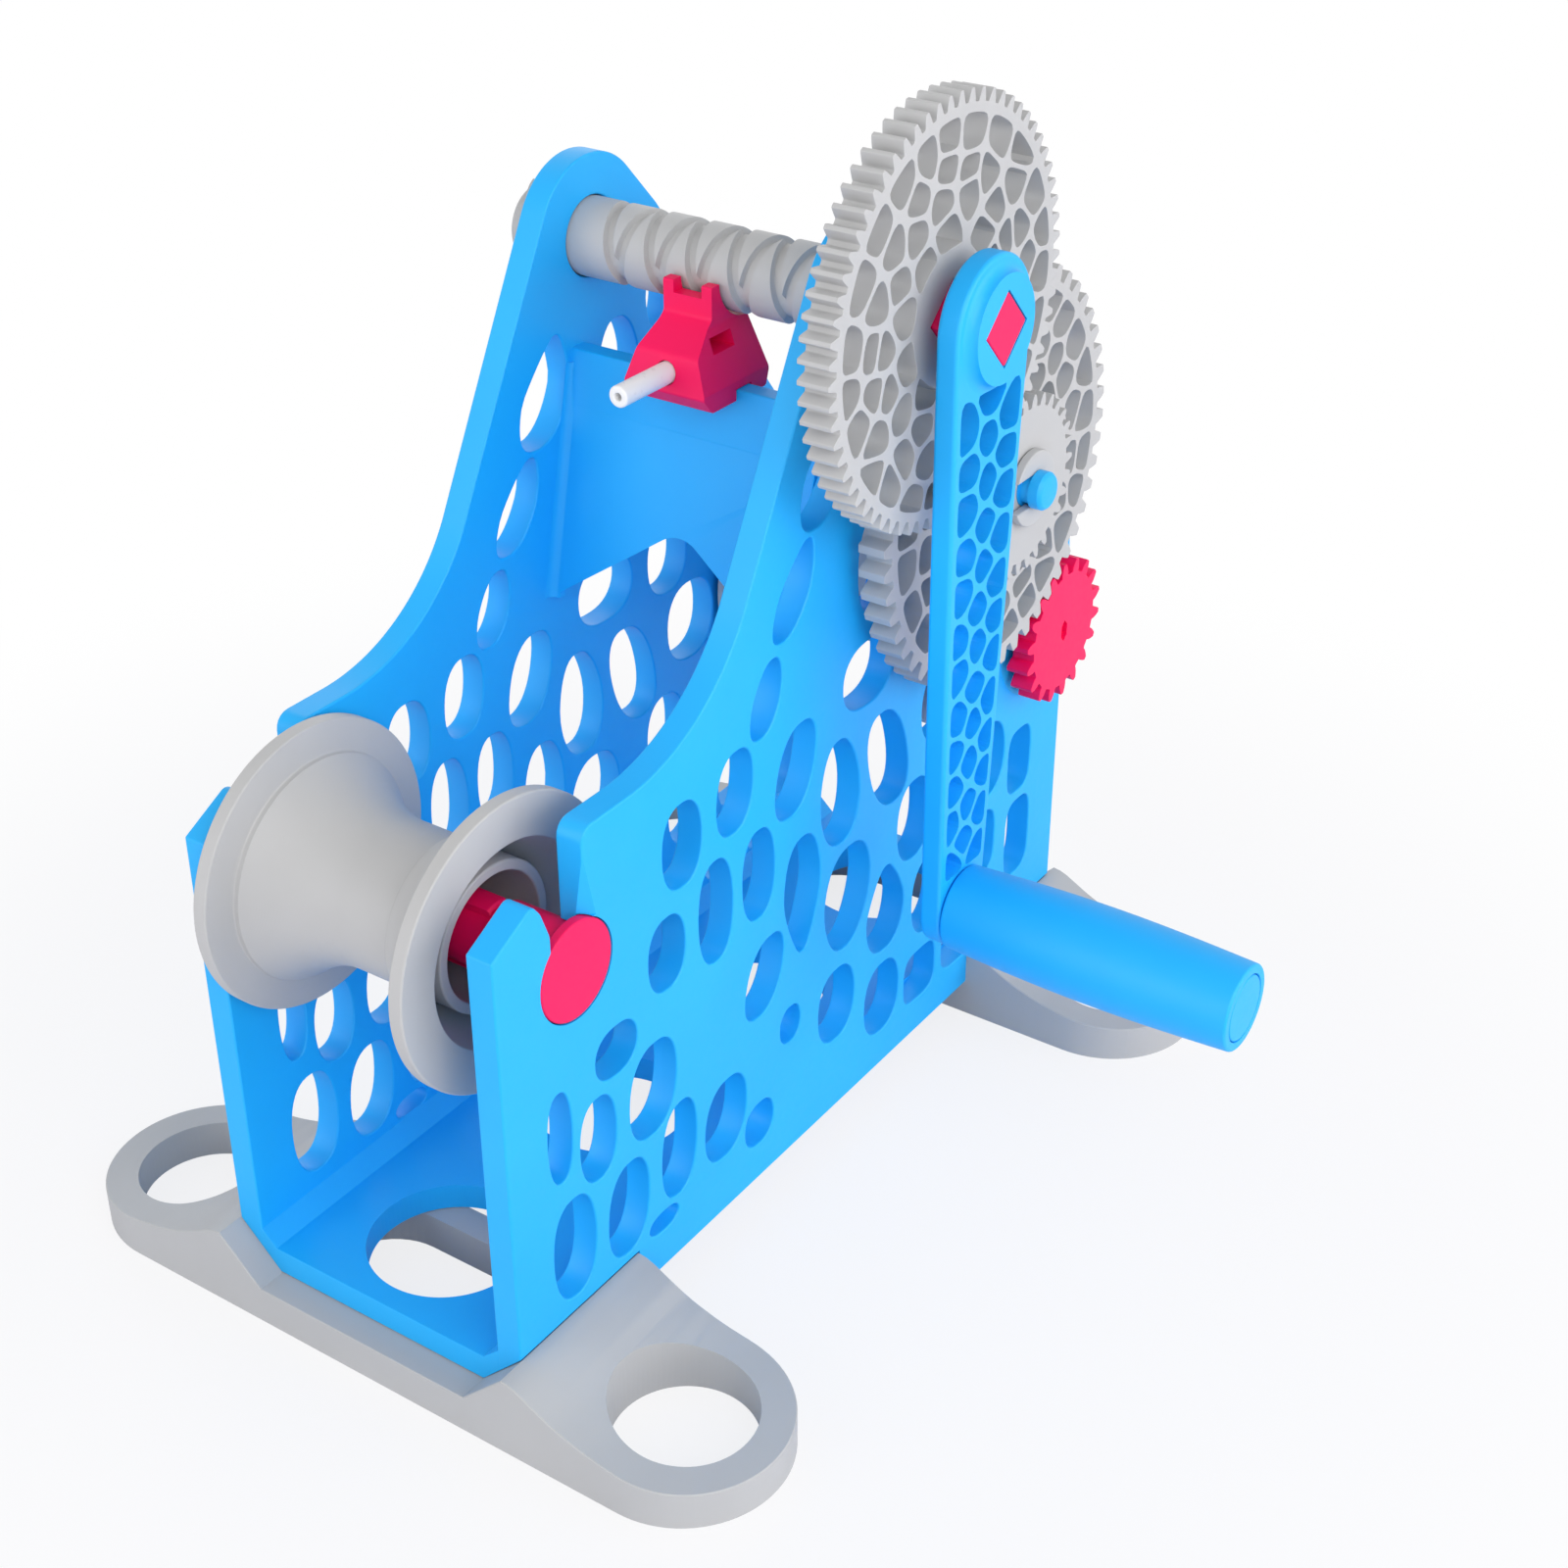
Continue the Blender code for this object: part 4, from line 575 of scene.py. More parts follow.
farPlate = sidePlate("blue_far_plate", -1)
nearPlate = sidePlate("blue_near_plate", 1)
join(nearPlate, rearBoss())

# The near plate's bore for the drive shaft's journal and, wider, for its collar
driveSizes = {"collarRadius": 0.0131, "gearBack": 0.0549, "collarLength": 0.0051,
              "collarInto": 0.001, "keyRadius": 0.0036, "keyShare": 0.55, "keyDepth": 0.0035}
collarBack = driveSizes["gearBack"] - driveSizes["collarLength"]
bore, wide, edge = journalRadius + play, driveSizes["collarRadius"] + play, general["edge"]
bossTop = plateOuter + plate["rearBossOut"]
cut(nearPlate, turned("collar_seat", [
    (plateInner - overrun, 0), (plateInner - overrun, bore + overrun + edge),
    (plateInner + edge, bore), (collarBack - seam, bore), (collarBack - seam, wide),
    (bossTop - edge, wide), (bossTop + overrun, wide + overrun + edge), (bossTop + overrun, 0)],
    rearAxis, 80))

# The idler's axle on the near plate, with a neck for its clip
clipLow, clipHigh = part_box("idler_clip")
stubEnd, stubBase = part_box("near_side_plate")[1].x, plateOuter + idlerStub["bossOut"]
radius, neck, chamfer = idlerStub["radius"], idlerStub["neck"], idlerStub["chamfer"]
join(nearPlate, turned("idler_stub", [
    (plateOuter - overrun, 0), (plateOuter - overrun, idlerStub["bossRadius"]),
    (stubBase, idlerStub["bossRadius"]), (stubBase, radius), (clipLow.x - seam, radius),
    (clipLow.x - seam, neck), (clipHigh.x + seam, neck), (clipHigh.x + seam, radius),
    (stubEnd - chamfer, radius),
    (stubEnd - chamfer * idlerStub["shoulder"], radius - chamfer * idlerStub["drop"]),
    (stubEnd, radius - chamfer), (stubEnd, 0)], idlerAxis, 64))
dress(farPlate, blueFrame, "frame", "blue", "far_side_plate")
dress(nearPlate, blueFrame, "frame", "blue", "near_side_plate")
print("side plates made")

# Floor plate, flush with the plates, with a 45 degree strip along each inner corner
floorPlate = {"thickness": 0.008, "holeRadius": 0.023, "holeInset": 0.0295, "holes": 4,
              "strip": 0.0050, "edge": 0.0002, "into": 0.0004}


def makeFloor():
    sizes = floorPlate
    half = plateInner + sizes["into"]
    low, top = frameFoot, frameFoot + sizes["thickness"]
    section = [(-half, low), (half, low), (half, top + sizes["strip"]),
               (plateInner - sizes["strip"], top), (-plateInner + sizes["strip"], top),
               (-half, top + sizes["strip"])]
    piece = slab("blue_floor_plate", [section], frameFront, frameRear, "front", sizes["edge"], 1)
    step = (frameLength - 2 * sizes["holeInset"]) / (sizes["holes"] - 1)
    for i in range(sizes["holes"]):
        middle = (0, fromFront(sizes["holeInset"] + i * step))
        cutThrough(piece, circle(middle, sizes["holeRadius"], 96), low, top, "flat")
    cutCorners(piece, (-1, 1))
    return piece


dress(makeFloor(), blueFrame, "frame", "blue", "floor_plate")

# Cross panel: a leaning wall whose bent upper band is the guide's rail
panel = {"foot": 0.1370, "low": 0.1620, "creaseAlong": 0.1490, "crease": 0.2170, "topAlong": 0.1515,
         "top": 0.2325, "thickness": 0.0060, "edge": 0.0006, "arch": 0.0290, "into": 0.0004,
         "bend": 0.008, "fillet": 0.0030, "filletTop": 0.0038, "filletShort": 0.0004,
         "filletIn": 0.00015, "filletInto": 0.0002}


def makePanel():
    sizes = panel
    thick, edge, low = sizes["thickness"], sizes["edge"], sizes["low"]
    foot, crease, top = [fromFront(sizes[key]) for key in ("foot", "creaseAlong", "topAlong")]
    section = softCorners([
        (foot, low, edge), (foot + thick, low, edge),
        (crease + thick, sizes["crease"], sizes["bend"]), (top + thick, sizes["top"], edge),
        (top, sizes["top"], edge), (crease, sizes["crease"], sizes["bend"])], 6)
    half = plateInner + sizes["into"]
    piece = slab("blue_cross_panel", [section], -half, half, "side")
    slope, bend = atan2(sizes["arch"], plateInner), sizes["arch"] / 3
    arch = arc((0, low + sizes["arch"] - bend / cos(slope)), bend,
               pi / 2 - slope, pi / 2 + slope, 16)
    wide, high = half + overrun, low - tan(slope) * (sizes["into"] + overrun)
    outline = [(-wide, high), (-wide, high - overrun), (wide, high - overrun), (wide, high)]
    return cut(piece, slab("panel_arch", [outline + arch], foot - thick, top + 2 * thick, "front"))


def wallFillet(side):
    # concave strip where the panel meets a plate; its back lies inside the panel
    sizes = panel
    strip, short = sizes["fillet"], sizes["filletShort"]
    rings = []
    for along, up in ((sizes["foot"], sizes["low"] + short), (sizes["creaseAlong"], sizes["crease"]),
                      (sizes["topAlong"], sizes["top"] - sizes["filletTop"])):
        face = fromFront(along + sizes["filletIn"])
        rings.append([(side * (plateInner + sizes["filletInto"]), face + overrun, up),
                      (side * (plateInner - strip - short), face + overrun, up)]
                     + [(side * (plateInner - out), face - rise, up)
                        for rise, out in cove(strip, strip, 5)])
    return loft("panel_fillet", rings)


crossPanel = makePanel()
for side in (-1, 1):
    join(crossPanel, wallFillet(side))
dress(crossPanel, blueFrame, "frame", "blue", "cross_panel")
print("floor and panel made")

# Feet
footSizes = {"ringX": 0.0863, "ringHole": 0.0200, "ringOuter": 0.0293, "seatHalf": 0.0365,
             "peak": 0.0255, "tail": 0.0112, "openingHalf": 0.038, "openingRadius": 0.020,
             "stripEnd": 0.0577, "stripCorner": 0.02, "slopeBlend": 0.025, "chamfer": 0.0045,
             "flatAngle": radians(0.2), "topLift": 0.3, "wallLift": 0.1, "edge": 0.0004,
             "edgeAngle": radians(25)}
footSlopeShares = ((0.0, 1.0), (0.05, 0.97), (0.14, 0.72), (0.26, 0.44), (0.42, 0.22),
                   (0.6, 0.09), (0.8, 0.02), (1.0, 0.0))


def slopeRise(share):
    # straight reading of the slope between its shares
    share = min(1, max(0, share))
    for (a, high), (b, low) in zip(footSlopeShares, footSlopeShares[1:]):
        if share <= b:
            return high + (low - high) * ((share - a) / (b - a))


def footSection(steps=26):
    sizes = footSizes
    reach = sizes["ringX"] + sizes["ringOuter"] - plateOuter
    half = [(sizes["seatHalf"] - seam, frameFoot - seam), (plateOuter, sizes["peak"] - seam)]
    for i in range(1, steps + 1):
        share = i / steps
        around = [slopeRise(share + k * sizes["slopeBlend"]) for k in range(-2, 3)]
        half.append((plateOuter + share * reach, sizes["tail"]
                     + sum(around) / len(around) * (sizes["peak"] - sizes["tail"])))
    half.append((half[-1][0], 0))
    return half + mirrored(half)


def endRounds(offset, middle, radius, steps):
    # half circles at both ends of a long hole or foot
    quarter = pi / 2
    return (arc((offset, middle), radius, -quarter, quarter, steps),
            arc((-offset, middle), radius, quarter, 3 * quarter, steps))


def footPlan(middle, depth):
    sizes = footSizes
    low, high, corner = middle - depth / 2, middle + depth / 2, sizes["stripCorner"]
    right, left = endRounds(sizes["ringX"], middle, sizes["ringOuter"], 40)
    return softCorners([(-sizes["stripEnd"], low, corner), (sizes["stripEnd"], low, corner)]
                       + sharp(right)
                       + [(sizes["stripEnd"], high, corner), (-sizes["stripEnd"], high, corner)]
                       + sharp(left), 6)


def makeFoot(name, low, high):
    sizes = footSizes
    middle, depth, peak = (low.y + high.y) / 2, high.y - low.y, sizes["peak"]
    piece = slab(name, [footSection()], middle - depth, middle + depth, "front")
    keepInside(piece, slab("foot_plan", [footPlan(middle, depth)], -overrun, peak + overrun, "flat"))
    chamferRim(piece, sizes["chamfer"])
    holes = [circle((side * sizes["ringX"], middle), sizes["ringHole"], 80) for side in (-1, 1)]
    right, left = endRounds(sizes["openingHalf"] - sizes["openingRadius"], middle,
                            sizes["openingRadius"], 24)
    for hole in holes + [right + left]:
        cutThrough(piece, hole, 0, peak, "flat")
    return roundEdges(piece, sizes["edge"], sizes["edgeAngle"])


def chamferRim(piece, width):
    # sloped edge all round the top
    work = bmesh.new()
    work.from_mesh(piece.data)
    bmesh.ops.remove_doubles(work, verts=work.verts[:], dist=general["merge"])
    bmesh.ops.dissolve_limit(work, angle_limit=footSizes["flatAngle"], verts=work.verts[:],
                             edges=work.edges[:])
    rim = []
    for edge in work.edges:
        if len(edge.link_faces) == 2:
            lifts = sorted(face.normal.z for face in edge.link_faces)
            if lifts[1] > footSizes["topLift"] and abs(lifts[0]) < footSizes["wallLift"]:
                rim.append(edge)
    bmesh.ops.bevel(work, geom=rim, offset=width, offset_type="WIDTH", segments=1, profile=0.5,
                    affect="EDGES", clamp_overlap=True)
    work.to_mesh(piece.data)
    work.free()
    closeUp(piece.data)


for node in ("front_foot", "rear_foot"):
    dress(makeFoot("grey_" + node, *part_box(node)), greyFoot, "frame", "grey", node)
print("feet made")


# Gears with rounded web openings
def involute(radius, base):
    turn = acos(min(1, base / radius))
    return tan(turn) - turn


gearSizes = {"backlash": 0.00035, "bottomGap": 0.0004, "pressure": radians(20),
             "tipRound": 0.00035, "rootRound": 0.0005, "rim": 0.0026, "web": 0.0013, "wobble": 0.24,
             "edge": 0.0002}
teeth = {"crank": 66, "idlerSmall": 30, "idlerLarge": 52, "drive": 18}
tipShares = {"crank": 0.93, "idlerSmall": 0.93, "idlerLarge": 0.63, "drive": 1.00}
modules, tips, roots, phases = {}, {}, {}, {}
for first, second, firstAxis, secondAxis in (("crank", "idlerSmall", screwAxis, idlerAxis),
                                             ("idlerLarge", "drive", idlerAxis, rearAxis)):
    distance = dist(firstAxis, secondAxis)
    toward = atan2(secondAxis[1] - firstAxis[1], secondAxis[0] - firstAxis[0])
    phases[first] = toward
    phases[second] = toward + pi + pi / teeth[second]
    for gear in (first, second):
        modules[gear] = 2 * distance / (teeth[first] + teeth[second])
        tips[gear] = modules[gear] * (teeth[gear] / 2 + tipShares[gear])
    for gear, other in ((first, second), (second, first)):
        roots[gear] = distance - tips[other] - gearSizes["bottomGap"]


def gearOutline(gear, flankPoints=5):
    module, count, tip, root = modules[gear], teeth[gear], tips[gear], roots[gear]
    pitch = count * module / 2
    base = pitch * cos(gearSizes["pressure"])
    halfTooth = (pi * module - gearSizes["backlash"]) / 4 / pitch
    rounds = {0: gearSizes["rootRound"], flankPoints - 1: gearSizes["tipRound"]}
    points = []
    for tooth in range(count):
        middle = phases[gear] + 2 * pi * tooth / count
        for way in (-1, 1):
            flank = []
            for i in range(flankPoints):
                radius = root + (tip - root) * i / (flankPoints - 1)
                half = halfTooth + involute(pitch, base) - involute(max(radius, base), base)
                angle = middle + way * half
                flank.append((*onCircle((0, 0), radius, angle), rounds.get(i, 0)))
            points += flank if way < 0 else reversed(flank)
    return softCorners(points, 3)


# Each limit tells how much room there is from (a, b) in a direction, None if it isn't in the way
def circleLimit(radius, outside):
    def room(a, b, alongA, alongB):
        facing = a * alongA + b * alongB
        inside = facing * facing + radius * radius - a * a - b * b
        if not outside:
            return -facing + sqrt(inside)
        return -facing - sqrt(inside) if facing < 0 < inside else None
    return room


def underLine(pointA, pointB, normalA, normalB):
    def room(a, b, alongA, alongB):
        facing = alongA * normalA + alongB * normalB
        if facing <= 0:
            return None
        return ((pointA - a) * normalA + (pointB - b) * normalB) / facing
    return room


def cellOutlines(seeds, halfWeb, limits, steps=32, softness=5.0):
    # rounded openings round each seed, kept a web apart and inside the limits
    outlines = []
    for seed in seeds:
        walls = []
        for other in seeds:
            if other is not seed:
                toward = atan2(other[1] - seed[1], other[0] - seed[0])
                walls.append((dist(seed, other) / 2 - halfWeb, toward))
        outline = []
        for i in range(steps):
            angle = 2 * pi * (i + 0.5) / steps
            total = 0
            for reach, toward in walls:
                facing = cos(angle - toward)
                if facing > 0:
                    total += (facing / reach) ** softness
            for limit in limits:
                room = limit(*seed, cos(angle), sin(angle))
                if room is not None:
                    total += (1 / room) ** softness
            length = total ** (-1 / softness)
            outline.append(onCircle(seed, length, angle))
        outlines.append(outline)
    return outlines


def webOpenings(rings, hub, rim, seed):
    rng = random.Random(seed)
    wobble = gearSizes["wobble"]
    band = (rim - hub) / len(rings)
    seeds = []
    for index, count in enumerate(rings):
        turn = rng.uniform(0, 2 * pi)
        for i in range(count):
            angle = turn + 2 * pi * (i + rng.uniform(-wobble, wobble)) / count
            reach = hub + band * (index + 0.5) + band * rng.uniform(-wobble, wobble)
            seeds.append(onCircle((0, 0), reach, angle))
    return cellOutlines(seeds, gearSizes["web"] / 2,
                        [circleLimit(rim, False), circleLimit(hub, True)])


def gearSlab(name, gear, axis, low, high, cells=()):
    outlines = [moved(outline, axis) for outline in (gearOutline(gear), *cells)]
    return slab(name, outlines, low, high, "side", gearSizes["edge"], 1)


squareSide = 0.01386
crankLean = atan2(screwAxis[0] - handleAxis[0], screwAxis[1] - handleAxis[1])
crankReach = dist(screwAxis, handleAxis)
crankGearSizes = {"hub": 0.0167, "rings": (10, 15, 19, 23), "seed": 11, "thickness": 0.0091,
                  "hubRound": 0.0004}
idlerGearSizes = {"rings": (15, 20, 25), "seed": 5, "thickness": 0.0082, "overlap": 0.004}


def squareOutline(side, soft=0.0):
    corners = circle(screwAxis, side / sqrt(2), 4, pi / 2 - crankLean)
    return softCorners([(*corner, soft) for corner in corners], 3)


def makeCrankGear():
    sizes = crankGearSizes
    low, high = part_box("crank_gear")
    back = high.x - sizes["thickness"]
    cells = webOpenings(sizes["rings"], sizes["hub"] + gearSizes["web"],
                        roots["crank"] - gearSizes["rim"], sizes["seed"])
    piece = gearSlab("grey_crank_gear", "crank", screwAxis, back, high.x, cells)
    join(piece, slab("crank_hub", [circle(screwAxis, sizes["hub"], 96)], low.x,
                     (back + high.x) / 2, "side", sizes["hubRound"]))
    return cutThrough(piece, squareOutline(squareSide + 2 * seam), low.x, high.x)


def makeIdler():
    sizes = idlerGearSizes
    low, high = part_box("idler_gear")
    middle = low.x + sizes["thickness"]
    cells = webOpenings(sizes["rings"], tips["idlerSmall"] + gearSizes["web"] / 2,
                        roots["idlerLarge"] - gearSizes["rim"], sizes["seed"])
    piece = gearSlab("grey_idler_gear", "idlerLarge", idlerAxis, low.x, middle, cells)
    join(piece, gearSlab("small_gear", "idlerSmall", idlerAxis, middle - sizes["overlap"], high.x))
    return cutThrough(piece, circle(idlerAxis, idlerStub["radius"] + play, 64), low.x, high.x)


dress(makeCrankGear(), greyTurned, "crank_train", "grey", "crank_gear")
dress(makeIdler(), greyTurned, "idler", "grey", "idler_gear")
print("gears made")

# Clip in the neck of the idler's axle: a disc with a straight mouth, open to the front
idlerClipSizes = {"outer": 0.0110, "mouthShare": 0.96, "edge": 0.0004}


def makeIdlerClip():
    sizes = idlerClipSizes
    neck, share = idlerStub["neck"] + play, sizes["mouthShare"]
    mouth = asin(neck * share / sizes["outer"])
    points = arc((0, 0), sizes["outer"], mouth - pi, pi - mouth, 48)
    points += arc((0, 0), neck, pi - asin(share), asin(share) - pi, 32)
    return slab("grey_idler_clip", [moved(points, idlerAxis)], clipLow.x, clipHigh.x, "side",
                sizes["edge"])


dress(makeIdlerClip(), greyTurned, "frame", "grey", "idler_clip")

# Lead screw: one endless groove that crosses itself and turns back at both ends
screw = {"lead": 0.0135, "depth": 0.0018, "mouth": 0.00175, "mouthGrow": 1.06, "mouthRise": 0.5,
         "floor": 0.00145, "floorCorner": 0.0004, "cornerShare": 0.3, "turns": 2.5,
         "turnBack": 0.10, "pastEnd": 0.02, "pastShare": 0.9, "pawlAngle": radians(225),
         "steps": 60, "around": 120, "edge": 0.0007}
guideLow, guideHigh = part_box("guide_carriage")
guideX = (guideLow.x + guideHigh.x) / 2


def groovePlace(turn):
    # distance from the guide along the screw: straight lead, rounded where it turns back
    sizes = screw
    left = sizes["turns"] - abs(turn)
    if left >= sizes["turnBack"]:
        reach = abs(turn)
    else:
        reach = sizes["turns"] - sizes["turnBack"] / 2 - left * left / (2 * sizes["turnBack"])
    return copysign(reach, turn) * sizes["lead"]


def grooveTool(hand):
    sizes = screw
    depth, mouth, wide, corner = [sizes[key] for key in ("depth", "mouth", "floor", "floorCorner")]
    floor, share = screwRadius - depth, sizes["cornerShare"]
    half = [(mouth * sizes["mouthGrow"], screwRadius + depth * sizes["mouthRise"]),
            (mouth, screwRadius), (wide, floor + corner),
            (wide - corner * share, floor + corner * share), (wide - corner, floor)]
    count = round(2 * sizes["turns"] * sizes["steps"])
    turns = [sizes["turns"] * (2 * i / count - 1) for i in range(count + 1)]
    turns = [turns[0] - sizes["pastEnd"]] + turns + [turns[-1] + sizes["pastEnd"]]
    rings = []
    for turn in turns:
        angle = sizes["pawlAngle"] + hand * 2 * pi * turn
        # past the end it lies within the other hand's groove
        share = 1.0 if abs(turn) <= sizes["turns"] else sizes["pastShare"]
        rings.append([(guideX + groovePlace(turn) + across * share,
                       *onCircle(screwAxis, radius + (1 - share) * depth, angle))
                      for across, radius in half + mirrored(half)])
    return loft("groove", rings)


def makeScrew():
    low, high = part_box("lead_screw")
    edge = screw["edge"]
    piece = turned("grey_lead_screw", softCorners([
        (low.x, 0, 0), (low.x, screwRadius, edge), (high.x, screwRadius, edge), (high.x, 0, 0)], 3),
        screwAxis, screw["around"])
    for hand in (-1, 1):
        cut(piece, grooveTool(hand))
    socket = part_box("square_shaft")[0].x - seam
    return cut(piece, slab("screw_socket", [squareOutline(squareSide + 2 * seam)], socket,
                           high.x + overrun, "side"))


dress(makeScrew(), greyTurned, "crank_train", "grey", "lead_screw")
print("screw made")

# Shafts: plain tip, ridges above and below that key the cones, journal and head
shaftSizes = {"core": 0.0090, "tip": 0.0084, "tipChamfer": 0.0015, "ridge": 0.0108,
              "ridgeWidth": 0.0070, "ridgeRound": 0.0012, "ridgeStart": 0.0174,
              "ridgeAfter": 0.0006, "ridgeBefore": 0.0010, "ridgeJump": 0.4, "tipStep": 0.0004,
              "journalLength": 0.0200, "journalStep": 0.0008, "soft": 0.0005,
              "headRadius": 0.0138, "headThickness": 0.0029, "headFillet": 0.0010,
              "headRound": 0.0006}


def ridgeAngles():
    # (angle, how far out the ridge's side lets a point be); None away from the ridges
    sizes = shaftSizes
    half = sizes["ridgeWidth"] / 2
    foot, brow = asin(half / sizes["core"]), asin(half / sizes["ridge"])
    places = []
    for up in (pi / 2, -pi / 2):
        places += [(up + brow * (i / 4 - 1), sizes["ridge"]) for i in range(9)]
        places.append((up + (foot + brow) / 2, half / sin((foot + brow) / 2)))
        places += [(up + foot + (pi - 2 * foot) * i / 24, None) for i in range(25)]
        places.append((up + pi - (foot + brow) / 2, half / sin((foot + brow) / 2)))
    return places


def keyedShaft(name, axis, tip, back, head):
    # turned shaft with a rounded ridge above and below between its tip and its journal
    sizes = shaftSizes
    core, soft, start = sizes["core"], sizes["soft"], tip + sizes["ridgeStart"]
    journal = back - sizes["journalLength"]
    profile = softCorners([
        (tip, 0, 0), (tip, sizes["tip"] - sizes["tipChamfer"], soft),
        (tip + sizes["tipChamfer"], sizes["tip"], soft), (start, sizes["tip"], 0),
        (start + sizes["tipStep"], core, 0), (journal - sizes["journalStep"], core, 0),
        (journal, journalRadius, soft), (back, journalRadius, sizes["headFillet"])] + head, 4)
    stations = [(along, radius, 0) for along, radius in profile if radius > 0]
    for place, way in ((start + sizes["ridgeAfter"], 1), (journal - sizes["ridgeBefore"], -1)):
        ramp = [(place, core, 0)]
        for i in range(6):
            share = i / 5
            rise = sizes["ridgeJump"] + (1 - sizes["ridgeJump"]) * sin(pi / 2 * share)
            ramp.append((place + way * sizes["ridgeRound"] * share, core,
                         core + (sizes["ridge"] - core) * rise))
        stations += ramp if way > 0 else reversed(ramp)
    stations.sort(key=lambda station: station[0])
    rings = []
    for along, radius, ridge in stations:
        reaches = [(radius if side is None else max(radius, min(ridge, side)), angle)
                   for angle, side in ridgeAngles()]
        rings.append([(along, *onCircle(axis, reach, angle)) for reach, angle in reaches])
    return loft(name, rings)


def makeFrontShaft():
    sizes = shaftSizes
    low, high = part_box("front_shaft")
    back, radius = high.x - sizes["headThickness"], sizes["headRadius"]
    return keyedShaft("red_front_shaft", frontAxis, low.x, back, [
        (back, radius, sizes["soft"]), (high.x, radius, sizes["headRound"]), (high.x, 0, 0)])


def makeDriveShaft():
    sizes = driveSizes
    low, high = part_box("drive_shaft")
    radius, end = sizes["collarRadius"], sizes["gearBack"] + sizes["collarInto"]
    piece = keyedShaft("red_drive_shaft", rearAxis, low.x, collarBack, [
        (collarBack, radius, shaftSizes["soft"]), (end, radius, 0), (end, 0, 0)])
    join(piece, gearSlab("drive_gear", "drive", rearAxis, sizes["gearBack"], high.x))
    keyhole = [(rearAxis[0] + sizes["keyRadius"] * sizes["keyShare"] * cos(a),
                rearAxis[1] + sizes["keyRadius"] * sin(a))
               for a in [pi / 2 + pi / 3 * i for i in range(6)]]
    return cut(piece, slab("keyhole", [keyhole], high.x - sizes["keyDepth"], high.x + overrun, "side"))


dress(makeFrontShaft(), redTurned, "front_axle", "red", "front_shaft")
dress(makeDriveShaft(), redTurned, "rear_shaft", "red", "drive_shaft")
print("shafts made")

# Spool cones
coneSizes = {"flangeRadius": 0.0400, "flange": 0.0043, "bandRadius": 0.0310, "band": 0.0023,
             "bandStart": 0.4, "bandStep": 0.0002, "tubeRadius": 0.0205, "tubeWall": 0.0030,
             "curve": 0.0240, "disc": 0.0060, "discBore": 0.006, "swell": 2, "slideSwell": 1.7,
             "slideLip": 0.0018, "slideBore": 0.0060, "slideRise": 0.0015, "dish": 0.0280,
             "dishRound": 0.001, "boreRound": 0.0004, "soft": 0.0006}


def keyedOutline(axis, grow):
    # round bore with a groove above and below for the shaft's ridges
    core, ridge = shaftSizes["core"] + grow, shaftSizes["ridge"] + grow
    half = shaftSizes["ridgeWidth"] / 2 + grow
    inner, outer = acos(half / core), acos(half / ridge)
    points = []
    for turn in (0, pi):
        points += arc(axis, core, turn - inner, turn + inner, 28)
        points += arc(axis, ridge, turn + outer, turn + pi - outer, 8)
    return points


def makeFixedCone(node, axis):
    sizes = coneSizes
    low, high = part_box(node)
    soft, rim, wide, tube = [sizes[key] for key in ("soft", "flangeRadius", "bandRadius", "tubeRadius")]
    front, hub, inner = low.x + sizes["flange"], low.x + sizes["disc"], tube - sizes["tubeWall"]
    band = front + sizes["band"]
    curve = [(band + i / 18 * sizes["curve"], tube + (wide - tube) * (1 - i / 18) ** sizes["swell"], 0)
             for i in range(1, 19)]
    profile = softCorners([
        (low.x, sizes["discBore"], 0), (low.x, rim, soft), (front, rim, soft),
        (front + sizes["band"] * sizes["bandStart"], wide + sizes["bandStep"], soft),
        (band, wide, 0)] + curve + [(high.x, tube, soft), (high.x, inner, soft),
                                    (hub, inner, soft), (hub, sizes["discBore"], 0)], 4)
    return cutThrough(turned("grey_" + node, profile, axis, 128), keyedOutline(axis, play), low.x, hub)


def makeSlidingCone(node, axis):
    sizes = coneSizes
    low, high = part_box(node)
    soft, rim, wide, tube = [sizes[key] for key in ("soft", "flangeRadius", "bandRadius", "tubeRadius")]
    edge, bore = high.x - sizes["flange"], tube + play
    band, lip = edge - sizes["band"], bore + sizes["slideLip"]
    curve = [(low.x + i / 16 * (band - low.x), lip + (wide - lip) * (i / 16) ** sizes["slideSwell"], 0)
             for i in range(1, 17)]
    profile = softCorners([(low.x, bore, sizes["boreRound"]), (low.x, lip, soft)] + curve + [
        (edge - sizes["bandStep"], wide + sizes["slideRise"], 0), (edge, rim, soft),
        (high.x, rim, soft), (high.x, sizes["dish"], soft),
        (low.x + sizes["slideBore"], bore, sizes["dishRound"])], 4)
    return turned("grey_" + node, profile, axis, 128)


for end, axis in (("front", frontAxis), ("rear", rearAxis)):
    for makeCone, kind, body in ((makeFixedCone, "_fixed_cone", "_spool"),
                                 (makeSlidingCone, "_sliding_cone", "_slider")):
        dress(makeCone(end + kind, axis), greyTurned, end + body, "grey", end + kind)
print("cones made")

